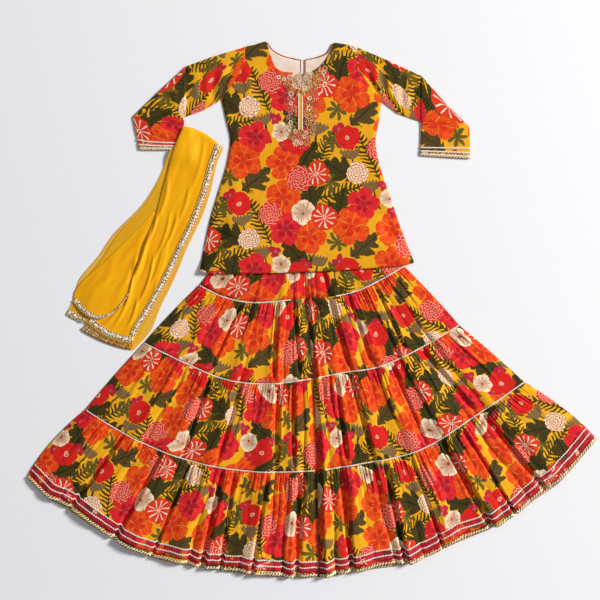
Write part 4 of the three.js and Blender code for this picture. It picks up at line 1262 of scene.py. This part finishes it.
# Curling stems of short gold stitches wind between the flowers.
start = rng.uniform(0, 6.3, (len(xs), 1))
bend = rng.choice([-1, 1], (len(xs), 1)) * np.linspace(0.05, 0.32, 26)[None]
heading = start + np.cumsum(bend, axis=1)
sx = xs[:, None] + 3 + np.cumsum(1.5 * np.cos(heading), axis=1)
sy = ys[:, None] - 4 + np.cumsum(1.5 * np.sin(heading), axis=1)
good = worked(sx, sy, 8)
stitches("neck_gold_stems", sx[good], sy[good], heading[good], 2.1, 1.0, 0.7, GOLD_THREAD, "gold_lace")
qx, qy = MIDLINE + rng.uniform(-88, 88, 1500), rng.uniform(490, 734, 1500)
good = worked(qx, qy, 9) & (rng.uniform(0, 1, 1500) < 0.75)
stitches("neck_sequins", qx[good], qy[good], 0.0, 2.4, 2.4, 0.8, SEQUIN, "silver_lace")

# %% The placket's braids, and the tied loops over it
def placket_line(x, top, foot, count, raised):
    """A straight line down the front."""
    y = np.linspace(top, foot, count)
    x = np.full_like(y, x)
    return np.stack([x, y, front_top(x, y) + raised], -1)


for side, place in (("left", PLACKET - 5.5), ("right", PLACKET + 5.5)):
    braid = strip(f"placket_braid_{side}", placket_line(place, 663, 549, 100, 0.2), 3.4, 0.7, 0.2, 5.0)
    keep(braid, SILVER, "silver_lace", f"tunic_placket_lace_{side}")
YELLOW_FACING = plain_cloth("yellow placket facing", "#F2B01C", "#DE9410", 12, 0.7, 0.05)
facing = strip("placket_facing", placket_line(PLACKET, 661, 551, 60, 0.1), 8.4, 0.4)
keep(facing, YELLOW_FACING, "yellow_organza")
a = np.linspace(0, 2 * np.pi, 60)
for side, sign in (("left", -1), ("right", 1)):
    x = PLACKET + sign * (2 + 9 * (1 - np.cos(a)) * 0.5)
    y = 668 - 12 * np.sin(a) * np.sin(a / 2) - 4 * (1 - np.cos(a))
    loop = np.stack([x + sign * 2.5 * np.sin(a), y, front_top(x, y) + 1.7 + 0.5 * np.sin(a / 2)], -1)
    keep(tube(f"neck_loop_{side}", loop, 1.1, 6), GOLD_THREAD, "gold_lace")
print("embroidery ready")

# %% [markdown]
# ## The scarf
# The scarf is organza, a sheer crisp cloth. One layer lets the floor through and looks pale. Where it is
# folded on itself it turns into a deep opaque yellow. So the single layers that show are made as
# thin see-through sheets, and the folded stack under the main fold is one soft body of the deep colour.

# %% The scarf's layers in plan
SCARF = {
    "core": [
        ((-388, 552), (-281, 499), -12), ((-417, 490), (-306, 446), 0), ((-441, 389), (-326, 376), 0),
        ((-466, 296), (-357, 294), 0), ((-506, 196), (-402, 203), 0), ((-538, 104), (-452, 99), 0),
        ((-570, 32), (-502, 12), 0), ((-640, -14), (-534, -50), 4), ((-706, -57), (-552, -120), 9),
    ],
    "main": [
        ((-392, 560), (-274, 499), -14), ((-420, 492), (-295, 446), 0), ((-450, 389), (-314, 374), 0),
        ((-476, 296), (-344, 291), 0), ((-514, 196), (-388, 200), 0), ((-547, 104), (-439, 97), 0),
        ((-577, 32), (-489, 10), 4), ((-642, -4), (-526, -52), 13), ((-693, -34), (-547, -102), 18),
    ],
    "wing": [
        ((-431, 488), (-412, 489), 0), ((-469, 398), (-438, 390), 0), ((-514, 326), (-463, 297), 0),
        ((-604, 233), (-503, 196), 0), ((-651, 165), (-535, 104), 0), ((-711, 89), (-568, 32), 0),
        ((-727, 36), (-642, -14), 0), ((-748, -12), (-702, -36), 2),
    ],
    "flap": [
        ((-482, 300), (-474, 296), 0), ((-546, 232), (-512, 196), 2), ((-632, 148), (-541, 125), 8),
        ((-704, 84), (-553, 85), 30), ((-724, 52), (-551, 72), 60), ((-726, 36), (-547, 66), 74),
    ],
    "margin": [
        ((-280, 499), (-268, 497), 0), ((-308, 446), (-289, 444), 0), ((-328, 376), (-305, 373), 0),
        ((-359, 294), (-331, 292), 0), ((-404, 203), (-375, 199), 0), ((-454, 99), (-420, 92), 0),
        ((-504, 12), (-463, 3), 0), ((-536, -50), (-486, -56), 0), ((-551, -122), (-541, -120), 0),
    ],
}  # fmt: skip


def scarf_plan(layer, s, t):
    """A point of a layer from above: smooth lines run down the table's two sides, and the middle of each
    section sags by four times the share across and its rest."""
    rows = SCARF[layer]
    run = np.linspace(0, 1, len(rows))
    at = [through(run, [row[end][axis] for row in rows], s) for end in (0, 1) for axis in (0, 1)]
    sag = through(run, [row[2] for row in rows], s)
    return blend(at[0], at[2], t), blend(at[1], at[3], t) - sag * 4 * t * (1 - t)


def over_cuff(x, y):
    """The scarf's top end lies on the left cuff: 7.7 mm up, falling off beyond the cuff's two edges."""
    return 7.7 * (1 - ease(x, -376, -336)) * ease(y, 425, 475)


# Folds of the folded layers, each from where it starts to where it ends, its half-width and its height.
SCARF_FOLDS = [
    ((-326, 520), (-380, 345), 7, 1.9), ((-372, 372), (-420, 250), 6, 2.2), ((-408, 300), (-457, 176), 5, 2.8),
    ((-450, 200), (-515, 40), 6, 2.6), ((-436, 400), (-478, 262), 6, 3.0), ((-470, 290), (-511, 190), 5, 3.6),
    ((-505, 215), (-553, 90), 6, 3.8), ((-545, 120), (-572, 0), 5, 3.4), ((-462, 300), (-500, 200), 5, -1.3),
    ((-492, 262), (-560, 60), 6, 3.4), ((-545, 100), (-606, -58), 6, 3.8), ((-430, 300), (-490, 140), 5, 2.6),
    ((-480, 170), (-540, 0), 5, 3.6), ((-530, 40), (-566, -60), 5, 3.4), ((-500, 190), (-530, 90), 6, -1.3),
    ((-440, 210), (-486, 70), 6, 2.2), ((-470, 90), (-520, -40), 6, 2.6), ((-575, 20), (-640, -50), 6, 3.0),
    ((-352, 500), (-372, 420), 16, 1.2), ((-395, 520), (-425, 420), 14, 1.4),
    ((-400, 470), (-440, 350), 8, -0.8), ((-380, 372), (-402, 322), 4, -0.8),
]  # fmt: skip
FLAP_FOLDS = [
    ((-490, 280), (-640, 90), 12, 1.6), ((-520, 220), (-600, 40), 9, 2.0), ((-560, 190), (-690, 70), 12, -1.4),
    ((-535, 160), (-562, 50), 7, 2.6), ((-600, 180), (-660, 30), 12, 1.3), ((-548, 130), (-575, 30), 5, -1.8),
    ((-640, 130), (-705, 60), 9, 1.0),
]  # fmt: skip


def scarf_layer(name, layer, grid, height, thick, material, under, *nodes, held="laid", flat=(0, 0), part=(0, 1)):
    """One layer as a closed sheet, or the part of it between two shares across. Height gets the shares down
    and across and the place in plan, and the grid has so many rows and columns."""
    rows, columns = grid
    s, t = np.meshgrid(np.linspace(0, 1, rows), np.linspace(*part, columns), indexing="ij")
    x, y = scarf_plan(layer, s, t)
    grid = np.stack([x, y, over_cuff(x, y) + height(s, t, x, y)], -1)
    steps = np.linalg.norm(np.diff(grid[..., :2], axis=0), axis=-1)
    down = np.concatenate([np.zeros((1, columns)), np.cumsum(steps, 0)])
    wide = np.linalg.norm(grid[:, -1:, :2] - grid[:, :1, :2], axis=-1)
    cloth = np.stack([(t - part[0]) / (part[1] - part[0]) * wide + flat[0], flat[1] - down], -1)
    piece = shell(name, grid, thick, cloth)
    keep(piece, material, "yellow_organza", *nodes)


# %% [markdown]
# Organza's threads are so fine that the layer looks like tinted film with a grain along it. The alpha below
# is the share of light that the threads stop. It is one constant, as it is the same all over.

# %% The organza
def organza(name, alpha, light, dark):
    """Sheer crisp cloth: yellow, with faint long streaks where threads bunch, partly see-through."""
    material, tree = begin(name)
    streak = clouds(tree, on_cloth(tree, 45.0, 9.0), 1.0, 3.0, 0.3, 0.7)
    colour = node(tree, "MixRGB", "MIX", streak, linear(dark), linear(light))
    weave = node(tree, "TexNoise", None, on_cloth(tree, 600.0), None, 1.0, 2.0)
    settle(tree, colour, weave, 0.3, 0.3, 0.5, sheen=0.04, specular=0.2, alpha=alpha)
    return material


SHEER = organza("organza, one layer", 0.52, "#FFCA2A", "#FFBC14")
DOUBLE = organza("organza, folded", 0.93, "#FFBE00", "#FFA800")
DEEP_STACK = organza("organza, folded stack", 1.0, "#FFBA00", "#FAA800")
# The darker organza is painted shade: its ochre stands for the shadow inside the folds.
PAINTED_SHADE_ORGANZA = organza("organza, painted shade in the folds", 1.0, "#D8921E", "#BE7A14")

scarf_layer(
    "scarf_folded_stack", "core", (90, 28),
    lambda s, t, x, y: 0.6 + 3.6 * np.minimum(round_off(nearer_end(t) * 120, 9), round_off((s + 0.004) * 700, 9)),
    0.5, DEEP_STACK, ["floor"], "scarf_core", held="folded",
)  # fmt: skip


def main_height(s, t, x, y):
    """Over the stack and its long folds, rolled down at the left fold, at the top and a little at the right."""
    edges = np.minimum(round_off(t * 125 + 1, 11), round_off(s * 640 + 1, 12))
    right = 0.45 + 0.55 * round_off((1 - t) * 125, 12)
    folds = creases(SCARF_FOLDS, x, y) * (1 - ease(t, 0.8, 0.9))
    return 1.1 + (4.9 + folds) * np.minimum(edges, right)


scarf_layer(
    "scarf_main_cloth", "main", (150, 90), main_height,
    0.5, DOUBLE, ["scarf_folded_stack"], "scarf_main_fold", held="folded",
)  # fmt: skip


def wing_height(s, t, x, y):
    """The single layer lies on the floor and climbs to the stack's side, with faint creases fanning out."""
    fan = 0.4 * np.sin(9 * t + 5 * s) * ease(t, 0, 0.3) * ease(1 - t, 0, 0.3)
    return 0.9 + 2.6 * ease(t, 0.72, 1.0) + 0.6 * ease(s, 0, 0.2) * (fan + 0.5)


scarf_layer("scarf_wing_cloth", "wing", (100, 44), wing_height, 0.35, SHEER, ["floor"], "scarf_wing")

# The wing is folded over on itself nearly to its edge, so two layers lie there, and the colour doubles.
scarf_layer(
    "scarf_wing_fold", "wing", (90, 26),
    lambda s, t, x, y: wing_height(s, t, x, y) + 0.3,
    0.2, SHEER, ["scarf_wing_cloth"], flat=(400, 0), part=(0.1, 0.995),
)  # fmt: skip


def flap_height(s, t, x, y):
    """The flap lies on the wing at its left and on the main fold at its right, and its foot stands clear."""
    onto = ease(t, 0, 0.3) * ease(s, 0.2, 0.65)
    return blend(2.3, 9.6, onto) + creases(FLAP_FOLDS, x, y) * ease(t, 0, 0.15)


scarf_layer(
    "scarf_flap_cloth", "flap", (84, 66), flap_height,
    0.4, DOUBLE, ["scarf_wing_cloth"], "scarf_flap", held="folded", flat=(300, 0),
)  # fmt: skip


def margin_height(s, t, x, y):
    """The margin comes down from the border to the floor, and its outer edge ripples."""
    return 1.0 + 2.4 * (1 - t) ** 2 + 0.35 * np.sin(60 * s + 2 * t) * t


scarf_layer(
    "scarf_margin_cloth", "margin", (120, 12), margin_height,
    0.35, SHEER, ["floor"], "scarf_margin", held="folded",
)  # fmt: skip
scarf_layer(
    "scarf_margin_hem", "margin", (120, 8), lambda s, t, x, y: margin_height(s, t, x, y) + 0.45,
    0.25, SHEER, ["scarf_margin_cloth"], flat=(400, 0), part=(0.02, 0.55),
)  # fmt: skip

# %% [markdown]
# The scarf's border is a metal lace with a curly edge on both sides, sewn 15 mm inside the hem. Tiny cut
# mirrors catch the light along it.

# %% The scarf's borders
def scarf_line(layer, s, t, height):
    """A line on a layer, over its cloth."""
    x, y = scarf_plan(layer, s, t)
    z = over_cuff(x, y) + height(s, t, x, y)
    return np.stack([x, y, z + 0.2], -1)


MIRROR = fleck_material("silver sequins", ["#FFFFFF", "#C89A5C", "#FFF2E2", "#F6DCA8", "#FFFBF4"], 4.6, 0.1, 0.38)
EDGE_LACE = fleck_material("dull gold lace", ["#F3DCB6", "#A8762E", "#E2B866", "#7C4E1C", "#F9EAD4"], 3.0)
GOLD_CORD = braid_material("gold cord", "#FBE2A0", "#A87430", 3.0, 0.4, 0.35)


CURL = 9.5  # millimetres from one curl of the border to the next


def curly(name, line, width, *nodes):
    """The border: a wide braid with deep scallops, a row of silver lozenges along its middle, and a gold cord
    that winds along each edge. Its width may be a list, one for each point of the line."""
    width = np.broadcast_to(width, len(line))
    keep(strip(name, line, width, 0.7, 0.3, CURL, 6), ZARI, "gold_lace", *nodes)
    raised = line + np.array([0, 0, 0.8])
    keep(strip(f"{name}_middle", raised, width * 0.62, 0.6, 0.7, CURL, 4), MIRROR, "silver_lace")
    for side, label in ((-1, "inner"), (1, "outer")):
        wave = width / 2 - 1.4 + 1.1 * np.sin(2 * np.pi * lengths(line) / CURL)
        edge = raised + side * wave[:, None] * sideways(line)
        keep(strip(f"{name}_{label}_cord", edge, 2.0, 0.5, 0.2, 3.2, 2), GOLD_CORD, "gold_lace")


s = np.linspace(0.004, 0.93, 430)
t = np.linspace(0.02, 0.98, 150)
thin = through([0, 0.35, 0.6, 0.8, 1], [17, 15, 8, 4.5, 3.2], t)
BORDERS = [  # the border, its layer, its line's shares down and across, the layer's height, and its width
    ("long", "main", s, np.full_like(s, 0.93), main_height, 19),
    ("main", "main", np.full_like(t, 0.965), t, main_height, 21),
    ("flap", "flap", np.full_like(t, 0.97), t, flap_height, thin),
    ("wing", "wing", np.full_like(t, 0.97), t, wing_height, 15),
]
for border, layer, down, across, height, width in BORDERS:
    line = scarf_line(layer, down, across, height)
    curly(f"scarf_border_{border}_braid", line, width, f"scarf_border_{border}")

# The folded layers under the main fold end one over another, and each end has the same lace on its edge.
t = np.linspace(0.02, 0.975, 150)
# A strip of the darker organza under the ends is painted shade for the shadow inside the folds between the laces.
line = scarf_line("core", np.full_like(t, 0.972), t, lambda s, t, x, y: 3.0 + 0 * s)
keep(strip("scarf_stack_painted_shade", line, 34, 0.5, columns=4), PAINTED_SHADE_ORGANZA, "yellow_organza")
STACK_ENDS = [(0.992, 0.015, 0.985), (0.979, 0.01, 0.96), (0.966, 0.01, 0.93), (0.953, 0.01, 0.9)]
for number, (down, low, high) in enumerate(STACK_ENDS):
    t = np.linspace(low, high, 150)
    line = scarf_line("core", np.full_like(t, down), t, lambda s, t, x, y: 3.2 + 0.5 * np.sin(9 * t) + 0 * s)
    end = strip(f"scarf_stack_end_{number + 1}", line, blend(6.4, 2.4, t), 0.7, 0.3, 7.0)
    keep(end, EDGE_LACE, "gold_lace")
    if number < 2:
        line = scarf_line("wing", np.full_like(t, 0.995 - 0.022 * number), t, wing_height)
        line[:, 2] += 0.3 * (2 - number)
        keep(strip(f"scarf_wing_end_{number + 1}", line, 6.5, 0.5, 0.35, 7.0), EDGE_LACE, "gold_lace")
print("scarf ready")

# %% [markdown]
# ## The waistband
# It is hidden by the tunic, and still made: a flat loop of the same cloth round both waists.

# %% The waistband
along = np.linspace(0, 1, 60)
line = np.concatenate([on_seam("left", 0, along), on_seam("right", 0, along)[1:]])
down, u = np.meshgrid([28.0, 20.0, 10.0, 0.5], np.linspace(0, 1, 161), indexing="ij")
across = 0.5 - 0.5 * np.cos(2 * np.pi * u)
place = np.stack([np.interp(across, np.linspace(0, 1, len(line)), line[:, i]) for i in (0, 1)], -1)
upper = np.sin(2 * np.pi * u) >= 0
arch = np.abs(np.sin(2 * np.pi * u)) ** 0.4
z = np.where(upper, 3.0 + 3.0 * arch + 0.5 * np.sin(90 * across), 3.0 - 2.8 * arch)
band = np.stack([place[..., 0], place[..., 1] + down, z], -1)[:, :-1]
cloth = np.stack([u * 900, down], -1)[:, :-1]
waistband = shell("trouser_waistband_cloth", band, 0.8, cloth, wrap=True)
keep(waistband, COTTON, "printed_cotton", "trouser_waistband")
print("waistband ready")

# %% [markdown]
# ## Camera, light and floor
# The photograph looks straight down. A long lens from high up gives the same flat view. The light is one
# large soft window far off on the right, low enough to draw the folds, over an even white fill.

# %% Camera, light and floor
MIDDLE = Vector((-0.0354, 0.0317 + SHIFT_Y * MM, 0))
FRAME_WIDTH = 1.830
camera = bpy.data.cameras.new("view from above")
camera.lens, camera.sensor_width = 85, 36
seen = bpy.data.objects.new("view_from_above", camera)
seen.location = MIDDLE + Vector((0, 0, FRAME_WIDTH * camera.lens / camera.sensor_width))
bpy.context.scene.collection.objects.link(seen)
bpy.context.scene.camera = seen
bpy.context.scene.view_settings.view_transform = "Standard"


def window(name, place, size, power, colour):
    """A square soft light at a place, facing the middle of the suit."""
    light = bpy.data.lights.new(name, "AREA")
    light.size, light.energy, light.color = size, power, linear(colour)[:3]
    lamp = bpy.data.objects.new(name, light)
    lamp.location = place
    lamp.rotation_euler = (MIDDLE - Vector(place)).to_track_quat("-Z", "Y").to_euler()
    bpy.context.scene.collection.objects.link(lamp)


window("window_right", (11.5, 3.9, 6.8), 3.0, 2700, "#FCFBFC")
world = bpy.data.worlds.new("white room")
bpy.context.scene.world = world
world.use_nodes = True
world.node_tree.nodes["Background"].inputs[0].default_value = linear("#F4F4F8")
world.node_tree.nodes["Background"].inputs[1].default_value = 0.3

corners = np.array([[-4000.0, 4000, -0.4], [-4000, -4000, -0.4], [4000, -4000, -0.4], [4000, 4000, -0.4]])
floor = put_mesh("floor", corners, [(0, 1, 2, 3)], corners[:, :2], smooth=False)
paper, tree = begin("matt white backdrop paper")
grain = node(tree, "TexNoise", None, node(tree, "TexCoord", out=3), None, 40.0, 3.0)
colour = node(tree, "MixRGB", "MIX", grain, linear("#F4F4F5"), linear("#F7F7F8"))
settle(tree, colour, grain, 0.02, 0.1, 0.9, specular=0.1)
floor.data.materials.append(paper)
